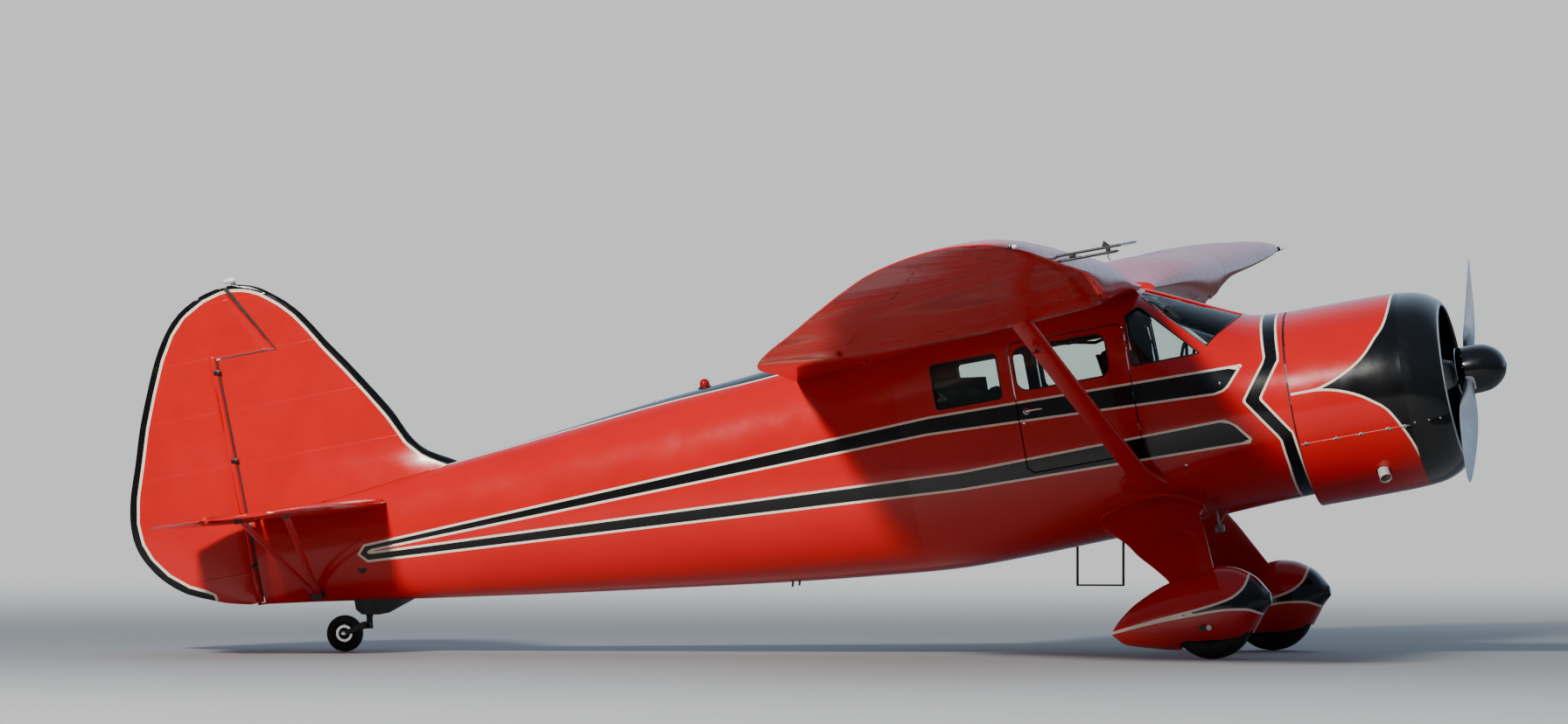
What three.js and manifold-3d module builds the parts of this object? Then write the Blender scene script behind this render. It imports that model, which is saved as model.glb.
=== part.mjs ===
// High-wing cabin monoplane with a radial engine, parked on its three wheels. Millimetres, +Z up.
// The airframe has its own level axes: x forward, y to port, z up from a point 280 above the ground
// between the main wheels. The whole airframe is then pitched nose up on its wheels.
import * as THREE from 'three';
import { mergeVertices } from 'three/addons/utils/BufferGeometryUtils.js';
import Module from 'manifold-3d';

const wasm = await Module();
wasm.setup();

// Driving dimensions
const PARKED_PITCH = THREE.MathUtils.degToRad(10.3);
const AIRFRAME_ORIGIN = { x: 2786.71, z: 280 };
const SEAT_GAP = 0.3;
const PANEL_GAP = 8;
const WALL = 42;
const GLASS = { setBack: 8, thickness: 8 };
const FUSELAGE = { front: 620, cabinBack: -1900, sternPost: -6277, ringSides: 28 };
const THRUST = { z: 1262 };
const COWL = { z: 1206, wall: 10, back: 631, noseJoint: 1360, seamZ: 975 };
const MAIN_WHEEL = { radius: 265, width: 200, halfTrack: 1400, rimRadius: 132, axleRadius: 26 };
const TAIL_WHEEL = { radius: 118, width: 78, x: -5866, trail: 162, rimRadius: 58, axleRadius: 9 };
const PROPELLER = { x: 1712, radius: 1220, rake: THREE.MathUtils.degToRad(126) };
const RUDDER = { hingeX: -6312, rake: 0.02, noseRadius: 27, hornZ: 2783, bottomZ: 1182 };
const rudderHingeX = (z) => RUDDER.hingeX - RUDDER.rake * (z - RUDDER.bottomZ);
const RUDDER_PIVOT = { radius: 9, depth: 30 };
const ELEVATOR = { hingeX: -6235, hingeZ: 1728, noseRadius: 28, innerY: 150, noseEndY: 1800 };
const DOOR = { front: -357, back: -1124, bottom: 1100, top: 1950, hingeY: 642 };

// Fuselage sections. Columns: x, top z, bottom z, height of the widest point, half width,
// squareness above that point, squareness below it
const FUSELAGE_SECTIONS = [
  [620, 1840, 655, 1240, 626, 2.05, 2.05],
  [450, 1851, 650, 1250, 627, 2.1, 2.1],
  [360, 1872, 648, 1255, 627, 2.15, 2.1],
  [150, 1964, 638, 1265, 627, 2.4, 2.2],
  [-50, 2058, 628, 1280, 627, 2.8, 2.3],
  [-260, 2150, 618, 1300, 627, 3.5, 2.5],
  [-500, 2212, 608, 1300, 627, 4.6, 2.7],
  [-850, 2240, 600, 1300, 627, 5, 2.8],
  [-1250, 2228, 590, 1300, 622, 5, 2.8],
  [-1750, 2185, 592, 1300, 606, 4.4, 2.7],
  [-2300, 2122, 640, 1310, 568, 3.4, 2.5],
  [-2813, 2065, 695, 1330, 515, 2.9, 2.4],
  [-3580, 1998, 792, 1375, 428, 2.6, 2.3],
  [-4400, 1903, 900, 1400, 325, 2.4, 2.3],
  [-4930, 1850, 975, 1420, 256, 2.3, 2.2],
  [-5500, 1795, 1056, 1430, 176, 2.2, 2.1],
  [-5900, 1760, 1116, 1435, 112, 2.1, 2],
  [-6277, 1733, 1167, 1440, 38, 2, 2],
];

// Wing sections from root to tip. Columns: y, leading edge x, leading edge z, chord,
// nose-up twist in degrees, greatest height above the chord, greatest depth below it,
// bluntness of the lower nose from 0 to 1
const WING_SECTIONS = [
  [300, -235, 2158, 2300, 5, 110, 45, 0.2],
  [620, -225, 2166, 2305, 5, 165, 50, 0.3],
  [1500, -170, 2200, 2300, 5.1, 245, 105, 0.8],
  [2450, -140, 2222, 2290, 5, 262, 172, 1],
  [2900, -134, 2232, 2220, 4.7, 260, 112, 0.9],
  [3400, -126, 2250, 2050, 4, 250, 66, 0.4],
  [3800, -122, 2265, 1862, 3.2, 240, 52, 0.1],
  [4600, -125, 2308, 1537, 2.2, 196, 46, 0],
  [5200, -130, 2345, 1252, 0.7, 146, 38, 0],
  [5600, -142, 2372, 990, -1.6, 105, 30, 0],
  [6000, -175, 2398, 650, -4.2, 62, 20, 0],
  [6250, -240, 2418, 330, -7, 27, 14, 0],
  [6385, -335, 2440, 60, -9, 6, 5, 0],
];

// Upright tail outline. Columns: z, leading edge x of the fin
const FIN_EDGE = [
  [1700, -4700],
  [1850, -4860],
  [1958, -5047],
  [2061, -5141],
  [2250, -5233],
  [2418, -5337],
  [2607, -5461],
  [2759, -5568],
  [2902, -5659],
  [3002, -5731],
  [3082, -5808],
  [3137, -5876],
  [3187, -5946],
  [3219, -6017],
  [3239, -6095],
];

// Rudder outline. Columns: z, trailing edge x
const RUDDER_EDGE = [
  [1182, -6380],
  [1215, -6520],
  [1259, -6637],
  [1318, -6773],
  [1427, -6910],
  [1559, -7007],
  [1683, -7057],
  [1829, -7065],
  [1997, -7035],
  [2216, -6962],
  [2434, -6893],
  [2649, -6807],
  [2862, -6710],
  [3017, -6611],
  [3124, -6504],
  [3205, -6350],
  [3234, -6240],
];

// Tailplane outline. Columns: y, leading edge x, trailing edge x
const TAILPLANE_EDGE = [
  [0, -5348, -6620],
  [250, -5358, -6660],
  [700, -5396, -6695],
  [1200, -5451, -6690],
  [1550, -5511, -6640],
  [1800, -5616, -6530],
  [1920, -5746, -6400],
  [1960, -5870, -6290],
];

// Wheel pant sections. Columns: x from the axle, top z, bottom z, half width
const PANT_SECTIONS = [
  [-658, 2, -16, 6],
  [-592, 72, -86, 52],
  [-463, 160, -132, 100],
  [-241, 248, -186, 150],
  [59, 296, -215, 181],
  [186, 274, -204, 174],
  [262, 232, -130, 154],
  [330, 172, -44, 118],
  [388, 74, 8, 40],
];

// Propeller blade sections. Columns: radius, chord, thickness, angle to the disc in degrees
const BLADE_SECTIONS = [
  [156, 76, 76, 60],
  [230, 78, 74, 58],
  [360, 118, 52, 50],
  [560, 154, 30, 38],
  [820, 144, 20, 29],
  [1050, 98, 14, 24],
  [1170, 56, 9, 22],
  [1220, 20, 5, 21],
];

// Paint and materials
const material = (color, roughness, metalness) =>
  new THREE.MeshStandardMaterial({ color, roughness, metalness });
const RED = material(0xb01218, 0.28, 0);
const BLACK = material(0x101216, 0.2, 0);
const ENGINE_METAL = material(0x4a4c50, 0.5, 0.7);
const POLISHED = material(0xb8bcc2, 0.2, 1);
const BLADE_METAL = material(0x8e949c, 0.3, 0.9);
const RUBBER = material(0x17181a, 0.85, 0);
const RIM = material(0xc9ccd0, 0.4, 0.8);
const CLEAR = new THREE.MeshStandardMaterial({
  color: 0xbfd0d0, roughness: 0.05, metalness: 0, transparent: true, opacity: 0.35,
});
const CLOTH = material(0x2c2d31, 0.9, 0);
const PALE_CLOTH = material(0xc4c6c4, 0.9, 0);
const DARK_STEEL = material(0x1c1d20, 0.5, 0.5);

// Maths
const lerp = THREE.MathUtils.lerp;
const degrees = THREE.MathUtils.degToRad;
const vector = (x, y, z) => new THREE.Vector3(x, y, z);

// Row of a table at one value of its first column, on a smooth curve through the rows
function rowAt(table, key) {
  const falling = table[0][0] > table[table.length - 1][0];
  const rows = falling ? [...table].reverse() : table;
  if (key <= rows[0][0]) return rows[0];
  if (key >= rows[rows.length - 1][0]) return rows[rows.length - 1];
  const i = rows.findIndex((row) => row[0] > key) - 1;
  const [a, b] = [rows[i], rows[i + 1]];
  const [before, after] = [rows[Math.max(i - 1, 0)], rows[Math.min(i + 2, rows.length - 1)]];
  const span = b[0] - a[0];
  const t = (key - a[0]) / span;
  return a.map((value, column) => {
    if (column === 0) return key;
    const slope = (p, q) => (q[column] - p[column]) / (q[0] - p[0]);
    const startSlope = before === a ? slope(a, b) : slope(before, b);
    const endSlope = after === b ? slope(a, b) : slope(a, after);
    const t2 = t * t;
    const t3 = t2 * t;
    return (2 * t3 - 3 * t2 + 1) * value + (t3 - 2 * t2 + t) * startSlope * span
      + (3 * t2 - 2 * t3) * b[column] + (t3 - t2) * endSlope * span;
  });
}

// Solids
function positionsOnly(geometry) {
  const bare = geometry.clone();
  bare.deleteAttribute('normal');
  bare.deleteAttribute('uv');
  return mergeVertices(bare, 1e-3);
}

function solid(geometry) {
  const merged = positionsOnly(geometry);
  const vertProperties = new Float32Array(merged.attributes.position.array);
  const triVerts = new Uint32Array(merged.index.array);
  return new wasm.Manifold(new wasm.Mesh({ numProp: 3, vertProperties, triVerts }));
}

function geometryOf(shape) {
  const mesh = shape.getMesh();
  const geometry = new THREE.BufferGeometry();
  geometry.setAttribute('position', new THREE.BufferAttribute(new Float32Array(mesh.vertProperties), 3));
  geometry.setIndex(new THREE.BufferAttribute(new Uint32Array(mesh.triVerts), 1));
  return geometry;
}

// Closed skin over rings of equal point counts, with a flat cap on each end. The faces of the
// two half rings are split along mirrored diagonals, so a symmetric ring gives a symmetric skin.
function loft(rings) {
  const count = rings[0].length;
  const positions = rings.flat().flatMap((p) => [p.x, p.y, p.z]);
  const index = [];
  rings.slice(1).forEach((_, r) => {
    for (let i = 0; i < count; i += 1) {
      const next = (i + 1) % count;
      const [a, b] = [r * count + i, r * count + next];
      const [c, d] = [a + count, b + count];
      const firstSide = i < count / 4 || i >= (3 * count) / 4;
      index.push(...(firstSide ? [a, b, d, a, d, c] : [a, b, c, b, d, c]));
    }
  });
  [0, rings.length - 1].forEach((r) => {
    const middle = rings[r].reduce((sum, p) => sum.add(p), vector(0, 0, 0)).divideScalar(count);
    const centre = positions.length / 3;
    positions.push(middle.x, middle.y, middle.z);
    for (let i = 0; i < count; i += 1) {
      const edge = [r * count + i, r * count + ((i + 1) % count)];
      index.push(centre, ...(r === 0 ? edge.reverse() : edge));
    }
  });
  const geometry = new THREE.BufferGeometry();
  geometry.setAttribute('position', new THREE.Float32BufferAttribute(positions, 3));
  geometry.setIndex(index);
  return signedVolume(geometry) < 0 ? turnedInsideOut(geometry) : geometry;
}

function signedVolume(geometry) {
  const { index, attributes: { position } } = geometry;
  let volume = 0;
  for (let i = 0; i < index.count; i += 3) {
    const [a, b, c] = [0, 1, 2].map((k) => new THREE.Vector3().fromBufferAttribute(position, index.getX(i + k)));
    volume += a.dot(b.cross(c));
  }
  return volume;
}

function turnedInsideOut(geometry) {
  const flipped = geometry.clone();
  const order = flipped.index.array;
  for (let i = 0; i < order.length; i += 3) [order[i], order[i + 1]] = [order[i + 1], order[i]];
  return flipped;
}

function mirrored(geometry) {
  const copy = positionsOnly(geometry);
  copy.applyMatrix4(new THREE.Matrix4().makeScale(1, -1, 1));
  return turnedInsideOut(copy);
}

const onSide = (side, geometry) => (side > 0 ? geometry : mirrored(geometry));

const box = (x1, x2, y1, y2, z1, z2) => solid(
  new THREE.BoxGeometry(x2 - x1, y2 - y1, z2 - z1).translate((x1 + x2) / 2, (y1 + y2) / 2, (z1 + z2) / 2),
);

// Round bar between two points
function bar(from, to, radius, sides = 12, endRadius = radius) {
  const axis = to.clone().sub(from);
  const turn = new THREE.Quaternion().setFromUnitVectors(vector(0, 1, 0), axis.clone().normalize());
  const geometry = new THREE.CylinderGeometry(endRadius, radius, axis.length(), sides);
  geometry.applyQuaternion(turn).translate(...from.clone().add(to).multiplyScalar(0.5).toArray());
  return solid(geometry);
}

// Turned piece about a line along x. Profile columns: x, radius
function turnedAlongX(profile, z, sides) {
  const points = profile.map(([x, radius]) => new THREE.Vector2(radius, x));
  const geometry = new THREE.LatheGeometry([...points, points[0]], sides);
  geometry.rotateZ(-Math.PI / 2).translate(0, 0, z);
  return cleaned(geometry);
}

// Turned piece about a line along y, for wheels. Profile columns: y, radius
function turnedAlongY(profile, sides) {
  const points = profile.map(([y, radius]) => new THREE.Vector2(radius, y));
  return cleaned(new THREE.LatheGeometry([...points, points[0]], sides));
}

function cleaned(geometry) {
  const merged = positionsOnly(geometry);
  const order = Array.from(merged.index.array);
  const kept = [];
  for (let i = 0; i < order.length; i += 3) {
    const [a, b, c] = order.slice(i, i + 3);
    if (a !== b && b !== c && a !== c) kept.push(a, b, c);
  }
  merged.setIndex(kept);
  return signedVolume(merged) < 0 ? turnedInsideOut(merged) : merged;
}

// Prism through the airframe from side to side. Outline columns: x, z
function sidePrism(outline, y1, y2) {
  const shape = new THREE.Shape(outline.map(([x, z]) => new THREE.Vector2(x, z)));
  const geometry = new THREE.ExtrudeGeometry(shape, { depth: y2 - y1, bevelEnabled: false });
  return solid(geometry.rotateX(Math.PI / 2).translate(0, y2, 0));
}

// Rectangle with cut corners, as an outline for a window or a door
function cutCorners([x1, x2], [z1, z2], corner) {
  return [
    [x1 + corner, z1], [x2 - corner, z1], [x2, z1 + corner], [x2, z2 - corner],
    [x2 - corner, z2], [x1 + corner, z2], [x1, z2 - corner], [x1, z1 + corner],
  ];
}

// Outline moved inwards by a distance, for a piece that sits in a hole
function shrunk(outline, distance) {
  const area = outline.reduce((sum, [x, z], i) => {
    const [nextX, nextZ] = outline[(i + 1) % outline.length];
    return sum + x * nextZ - nextX * z;
  }, 0);
  const inwards = Math.sign(area);
  return outline.map((point, i) => {
    const before = outline[(i + outline.length - 1) % outline.length];
    const after = outline[(i + 1) % outline.length];
    const normal = ([ax, az], [bx, bz]) => {
      const length = Math.hypot(bx - ax, bz - az);
      return [-inwards * (bz - az) / length, inwards * (bx - ax) / length];
    };
    const [n1, n2] = [normal(before, point), normal(point, after)];
    const scale = distance / (1 + n1[0] * n2[0] + n1[1] * n2[1]);
    return [point[0] + (n1[0] + n2[0]) * scale, point[1] + (n1[1] + n2[1]) * scale];
  });
}

// Fuselage
function fuselageRing(x, inset) {
  const [, top, bottom, middle, halfWidth, squareUp, squareDown] = rowAt(FUSELAGE_SECTIONS, x);
  const power = (value, square) => Math.sign(value) * Math.abs(value) ** (2 / square);
  return Array.from({ length: FUSELAGE.ringSides }, (_, i) => {
    const angle = (i / FUSELAGE.ringSides) * 2 * Math.PI;
    const [across, up] = [Math.cos(angle), Math.sin(angle)];
    const square = up >= 0 ? squareUp : squareDown;
    const height = up >= 0 ? top - middle - inset : middle - bottom - inset;
    return vector(x, (halfWidth - inset) * power(across, square), middle + height * power(up, square));
  });
}

const FUSELAGE_STATIONS = [
  450, 340, 150, -50, -260, -450, -700, -1100, -1500, -1900, -2350, -2813, -3580, -4400, -4930, -5500, -5900,
];

function fuselageSolid(from, to, inset) {
  const between = FUSELAGE_STATIONS.filter((x) => x < from - 8 && x > to + 8);
  return solid(loft([from, ...between, to].map((x) => fuselageRing(x, inset))));
}

const fuselageSkin = fuselageSolid(FUSELAGE.front, FUSELAGE.sternPost, -SEAT_GAP);
const cabinOuter = fuselageSolid(FUSELAGE.front, FUSELAGE.cabinBack, 0);
const cabinSpace = fuselageSolid(FUSELAGE.front + 5, FUSELAGE.cabinBack + 30, WALL);
const cabinLining = fuselageSolid(FUSELAGE.front + 5, FUSELAGE.cabinBack + 30, WALL + SEAT_GAP);
const glassLayer = fuselageSolid(FUSELAGE.front + 5, FUSELAGE.cabinBack, GLASS.setBack)
  .subtract(fuselageSolid(FUSELAGE.front + 6, FUSELAGE.cabinBack - 1, GLASS.setBack + GLASS.thickness));

// Window outlines on the side, in x and z
const WINDSHIELD = [[345, 1870], [200, 1762], [142, 1708], [-236, 2092], [-262, 2180], [330, 1980]];
const QUARTER_WINDOW = [[-340, 1662], [98, 1668], [-232, 2018], [-258, 2034], [-340, 1990]];
const DOOR_WINDOW = cutCorners([-1095, -486], [1632, 1908], 42);
const REAR_WINDOW = cutCorners([-1636, -1200], [1608, 1900], 16);
const DOOR_OPENING = cutCorners([DOOR.back, DOOR.front], [DOOR.bottom, DOOR.top], 40);
const OUTSIDE = 900;
const INSIDE = 380;

const throughBothSides = (outline) => sidePrism(outline, -OUTSIDE, OUTSIDE);
const throughSide = (outline, side) => (side > 0
  ? sidePrism(outline, INSIDE, OUTSIDE)
  : sidePrism(outline, -OUTSIDE, -INSIDE));

const doorHole = throughBothSides(DOOR_OPENING).subtract(box(-2000, 0, -INSIDE, INSIDE, 900, 2100));
const sideHoles = [QUARTER_WINDOW, REAR_WINDOW].map((outline) =>
  throughBothSides(outline).subtract(box(-2000, 200, -INSIDE, INSIDE, 900, 2300)));

function cabinShell() {
  const walls = cabinOuter.subtract(cabinSpace).subtract(throughBothSides(WINDSHIELD)).subtract(doorHole);
  const shell = sideHoles.reduce((sum, hole) => sum.subtract(hole), walls);
  return shell.add(doorHinges(1, false)).add(doorHinges(-1, false));
}

function windowPane(outline, side) {
  return glassLayer.intersect(throughSide(shrunk(outline, SEAT_GAP), side));
}

// Door hinges: a pin and lower knuckle on the cabin, an upper knuckle on the door
const DOOR_HINGE = { heights: [1273, 1475, 1810], knuckleRadius: 9, pinRadius: 4, reach: 22 };

function doorHinges(side, onDoor) {
  const { heights, knuckleRadius, pinRadius, reach } = DOOR_HINGE;
  const at = (z) => vector(DOOR.front, side * DOOR.hingeY, z);
  const block = (x1, x2, z1, z2) => (side > 0
    ? box(x1, x2, 590, 643, z1, z2)
    : box(x1, x2, -643, -590, z1, z2));
  return heights.map((z) => (onDoor
    ? bar(at(z + 1), at(z + reach), knuckleRadius, 8)
      .add(block(DOOR.front - 40, DOOR.front - 4, z + 1, z + reach))
      .subtract(bar(at(z), at(z + reach + 1), pinRadius + 0.5, 6))
    : bar(at(z - reach), at(z), knuckleRadius, 8)
      .add(bar(at(z - 4), at(z + reach - 2), pinRadius - 0.4, 6))
      .add(block(DOOR.front + 2, DOOR.front + 16, z - reach, z))
  )).reduce((sum, piece) => sum.add(piece));
}

function doorPanel(side) {
  const outline = shrunk(DOOR_OPENING, PANEL_GAP);
  return cabinOuter.subtract(cabinSpace)
    .intersect(throughSide(outline, side))
    .subtract(throughSide(DOOR_WINDOW, side))
    .add(doorHinges(side, true));
}

function firewall() {
  const rim = 3;
  const ring = fuselageRing(FUSELAGE.front, rim);
  const moved = (x) => ring.map((p) => vector(x, p.y, p.z));
  return solid(loft([moved(FUSELAGE.front + SEAT_GAP), moved(COWL.back - SEAT_GAP)]));
}

// Wing section points, from the trailing edge over the top to the nose and back underneath
const CHORD_STEPS = [1, 0.82, 0.62, 0.44, 0.28, 0.15, 0.06, 0.014];
const TRAILING_EDGE = 3;

function wingThickness(fraction) {
  const series = 0.2969 * Math.sqrt(fraction) - 0.126 * fraction - 0.3516 * fraction ** 2
    + 0.2843 * fraction ** 3 - 0.1015 * fraction ** 4;
  return 10 * series;
}

// Lower surface where the strut meets the wing: a deep nose, then a straight run to the rear
const BLUNT_NOSE = 0.05;

function wingWedge(fraction) {
  if (fraction < BLUNT_NOSE) return Math.sqrt(1 - (1 - fraction / BLUNT_NOSE) ** 2);
  return 1 - ((fraction - BLUNT_NOSE) / (1 - BLUNT_NOSE)) ** 1.8;
}

function wingPoint(y, fraction, level) {
  const [, edgeX, edgeZ, chord, twist, up, down, bluntness] = rowAt(WING_SECTIONS, y);
  const under = lerp(wingThickness(fraction), wingWedge(fraction), bluntness);
  const height = (level > 0 ? up * wingThickness(fraction) : down * level * under)
    + Math.sign(level) * TRAILING_EDGE * fraction;
  const pitch = degrees(twist);
  return vector(
    edgeX - fraction * chord * Math.cos(pitch) - height * Math.sin(pitch),
    y,
    edgeZ - fraction * chord * Math.sin(pitch) + height * Math.cos(pitch),
  );
}

function wingRing(y) {
  const over = CHORD_STEPS.map((fraction) => wingPoint(y, fraction, 1));
  const under = CHORD_STEPS.map((fraction) => wingPoint(y, fraction, -1)).reverse();
  return [...over, wingPoint(y, 0, 0), ...under];
}

const WING_STATIONS = [
  300, 620, 1050, 1500, 2000, 2450, 2900, 3400, 3950, 4600, 5200, 5600, 5900, 6130, 6280, 6350, 6385,
];
const AILERON = { inner: 3060, outer: 5740, chordFraction: 0.76, gap: 9, behindHinge: 26 };
const FLAP = { inner: 880, outer: 2880, chordFraction: 0.77, gap: 8, hingeBelow: 24 };

// Frame on a hinge line: its two ends, its length and its directions
function hingeFrame(from, to) {
  const along = to.clone().sub(from).normalize();
  const back = vector(-1, 0, 0).addScaledVector(along, along.x).normalize();
  const up = new THREE.Vector3().crossVectors(along, back).normalize();
  return { from, to, along, back, up, length: from.distanceTo(to) };
}

function midPoint(y, fraction) {
  return wingPoint(y, fraction, 1).add(wingPoint(y, fraction, -1)).multiplyScalar(0.5);
}

const aileronHinge = hingeFrame(
  midPoint(AILERON.inner, AILERON.chordFraction),
  midPoint(AILERON.outer, AILERON.chordFraction),
);
const flapHinge = hingeFrame(
  wingPoint(FLAP.inner, FLAP.chordFraction, -1).setZ(
    wingPoint(FLAP.inner, FLAP.chordFraction, -1).z - FLAP.hingeBelow),
  wingPoint(FLAP.outer, FLAP.chordFraction, -1).setZ(
    wingPoint(FLAP.outer, FLAP.chordFraction, -1).z - FLAP.hingeBelow),
);

// Block behind a hinge line, longer than the surface by a gap at both ends and in front
function blockBehind(hinge, gap) {
  const reach = 1200;
  const height = 900;
  const geometry = new THREE.BoxGeometry(reach + gap, hinge.length + 2 * gap, height);
  geometry.translate((reach - gap) / 2, hinge.length / 2, 0);
  const matrix = new THREE.Matrix4().makeBasis(hinge.back, hinge.along, hinge.up);
  geometry.applyMatrix4(matrix.setPosition(hinge.from));
  return solid(signedVolume(geometry) < 0 ? turnedInsideOut(geometry) : geometry);
}

// Thin block just behind the aileron hinge, where only the round nose fills the wing's thickness
function frontOfHinge(hinge) {
  const geometry = new THREE.BoxGeometry(AILERON.behindHinge + 10, hinge.length + 40, 900);
  geometry.translate((AILERON.behindHinge - 10) / 2, hinge.length / 2, 0);
  geometry.applyMatrix4(new THREE.Matrix4().makeBasis(hinge.back, hinge.along, hinge.up).setPosition(hinge.from));
  return solid(signedVolume(geometry) < 0 ? turnedInsideOut(geometry) : geometry);
}

// Round nose about the aileron hinge, following half the wing's thickness there
function aileronNose(gap) {
  const steps = 3;
  const radiusAt = (t) => {
    const point = aileronHinge.from.clone().lerp(aileronHinge.to, t);
    const [, edgeX, , chord] = rowAt(WING_SECTIONS, point.y);
    const fraction = (edgeX - point.x) / chord;
    const top = wingPoint(point.y, fraction, 1).distanceTo(wingPoint(point.y, fraction, -1));
    return top / 2 - 1 + gap;
  };
  const last = aileronHinge.length + gap;
  const profile = Array.from({ length: steps + 1 }, (_, i) =>
    [lerp(-gap, last, i / steps), radiusAt(i / steps)]);
  const geometry = turnedAlongY([[-gap, 0], ...profile, [last, 0]], 16);
  const matrix = new THREE.Matrix4().makeBasis(aileronHinge.back, aileronHinge.along, aileronHinge.up);
  geometry.applyMatrix4(matrix.setPosition(aileronHinge.from));
  return solid(signedVolume(geometry) < 0 ? turnedInsideOut(geometry) : geometry);
}

// Hinge pins and lugs of the ailerons and flaps
const HINGE_PIN = { radius: 7, clearance: 0.8, depth: 30 };
const FLAP_LUG = { radius: 15, width: 12, spacing: 13, places: [80, 1840] };

function onHinge(hinge, distance, back = 0, up = 0) {
  return hinge.from.clone().addScaledVector(hinge.along, distance)
    .addScaledVector(hinge.back, back).addScaledVector(hinge.up, up);
}

function aileronPins(grow, gap) {
  const { radius, depth } = HINGE_PIN;
  const { length } = aileronHinge;
  return bar(onHinge(aileronHinge, -gap - 25), onHinge(aileronHinge, depth + grow), radius + grow, 8)
    .add(bar(onHinge(aileronHinge, length - depth - grow), onHinge(aileronHinge, length + gap + 25), radius + grow, 8));
}

// Lug along the hinge line from one distance to another, rising ahead of the hinge or behind it
function flapLug(start, width, behind) {
  const corner = (distance, back, up) => onHinge(flapHinge, distance, back, up);
  const { radius } = FLAP_LUG;
  const sense = behind ? 1 : -1;
  const rings = [start, start + width].map((distance) => [
    corner(distance, sense * -radius, 0), corner(distance, 0, -radius), corner(distance, sense * radius, -radius * 0.4),
    corner(distance, sense * 70, 60), corner(distance, sense * 16, 60), corner(distance, sense * 10, 12),
  ]);
  return solid(loft(rings));
}

function flapLugs(onFlap) {
  const { width, spacing, places } = FLAP_LUG;
  const { radius, clearance } = HINGE_PIN;
  return places.map((place) => (onFlap
    ? flapLug(place + spacing, width, true)
      .subtract(bar(onHinge(flapHinge, place), onHinge(flapHinge, place + 40), radius + clearance, 8))
    : flapLug(place, width, false)
      .add(bar(onHinge(flapHinge, place + 1), onHinge(flapHinge, place + spacing + width - 2), radius, 8))
  )).reduce((sum, piece) => sum.add(piece));
}

const wingBlank = solid(loft(WING_STATIONS.map(wingRing)));
const aileronShape = wingBlank.intersect(
  blockBehind(aileronHinge, 0).subtract(frontOfHinge(aileronHinge)).add(aileronNose(0)),
).subtract(aileronPins(HINGE_PIN.clearance, 40));
const flapShape = wingBlank.intersect(blockBehind(flapHinge, 0)).add(flapLugs(true));
const wingShape = wingBlank
  .subtract(blockBehind(aileronHinge, AILERON.gap))
  .subtract(aileronNose(AILERON.gap))
  .subtract(blockBehind(flapHinge, FLAP.gap))
  .add(aileronPins(0, AILERON.gap))
  .add(flapLugs(false))
  .subtract(fuselageSkin);

// Streamlined bar between rings. Columns: x, y, z of the middle, chord, thickness
function fairedBar(rows, sides = 12) {
  const spine = rows[rows.length - 1].slice(1, 3).map((value, k) => value - rows[0][k + 1]);
  const length = Math.hypot(...spine);
  const normal = [-spine[1] / length, spine[0] / length];
  return rows.map(([x, y, z, chord, thickness]) => Array.from({ length: sides }, (_, i) => {
    const angle = (i / sides) * 2 * Math.PI;
    const along = Math.cos(angle);
    const across = Math.sin(angle) * (0.55 + 0.45 * (along + 1) / 2) * thickness / 1.6;
    return vector(x + along * chord / 2, y + across * normal[0], z + across * normal[1]);
  }));
}

// Wing strut with its tie-down plate near the top
const STRUT_ROWS = [
  [-412, 540, 905, 330, 130],
  [-412, 640, 944, 250, 90],
  [-410, 760, 992, 146, 50],
  [-699, 2400, 1959, 140, 50],
  [-716, 2500, 2018, 150, 52],
  [-733, 2600, 2077, 150, 52],
];
const TIE_DOWN = { x: -680, y: 2290, z: 1810, length: 60, width: 40, thickness: 12 };

function wingStrut() {
  const strut = solid(loft(fairedBar(STRUT_ROWS)));
  const { x, y, z, length, width, thickness } = TIE_DOWN;
  const plate = box(x - length / 2, x + length / 2, y - width / 2, y + width / 2, z, z + thickness)
    .add(box(x - length / 2, x + length / 2, y - thickness / 2, y + thickness / 2, z, z + 130));
  return strut.add(plate).subtract(wingBlankGrown).subtract(fuselageSkin);
}

// Wing grown by the seat gap, to cut what meets it
const wingBlankGrown = solid(loft(WING_STATIONS.map((y) => {
  const ring = wingRing(y);
  const middle = ring.reduce((sum, p) => sum.add(p), vector(0, 0, 0)).divideScalar(ring.length);
  return ring.map((p) => p.clone().add(p.clone().sub(middle).normalize().multiplyScalar(3 * SEAT_GAP)));
})));

// Pitot boom on the starboard wing, level with the airframe
const PITOT = { y: 4400, z: 2338, back: -190, front: 372, radius: 9, spacing: 34 };

function pitotBoom() {
  const { y, z, back, front, radius, spacing } = PITOT;
  const upper = bar(vector(back, y, z), vector(front, y, z), radius, 10);
  const lower = bar(vector(back, y, z - spacing), vector(front - 120, y, z - spacing), radius, 10);
  const post = box(front - 200, front - 170, y - 5, y + 5, z - spacing, z);
  const mast = box(-60, -20, y - 5, y + 5, z - spacing, z);
  return upper.add(lower).add(post).add(mast).subtract(wingBlankGrown);
}

// Cross tube that turns both elevators, and the slot it passes through ahead of the rudder
const ELEVATOR_TUBE = { radius: 20, slotRadius: 27 };
const elevatorHinge = (y) => vector(ELEVATOR.hingeX, y, ELEVATOR.hingeZ);
const elevatorTubeSlot = bar(elevatorHinge(-300), elevatorHinge(-12), ELEVATOR_TUBE.slotRadius, 16)
  .add(bar(elevatorHinge(12), elevatorHinge(300), ELEVATOR_TUBE.slotRadius, 16))
  .add(bar(elevatorHinge(-20), elevatorHinge(20), ELEVATOR_TUBE.radius + 0.5, 16));

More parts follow.
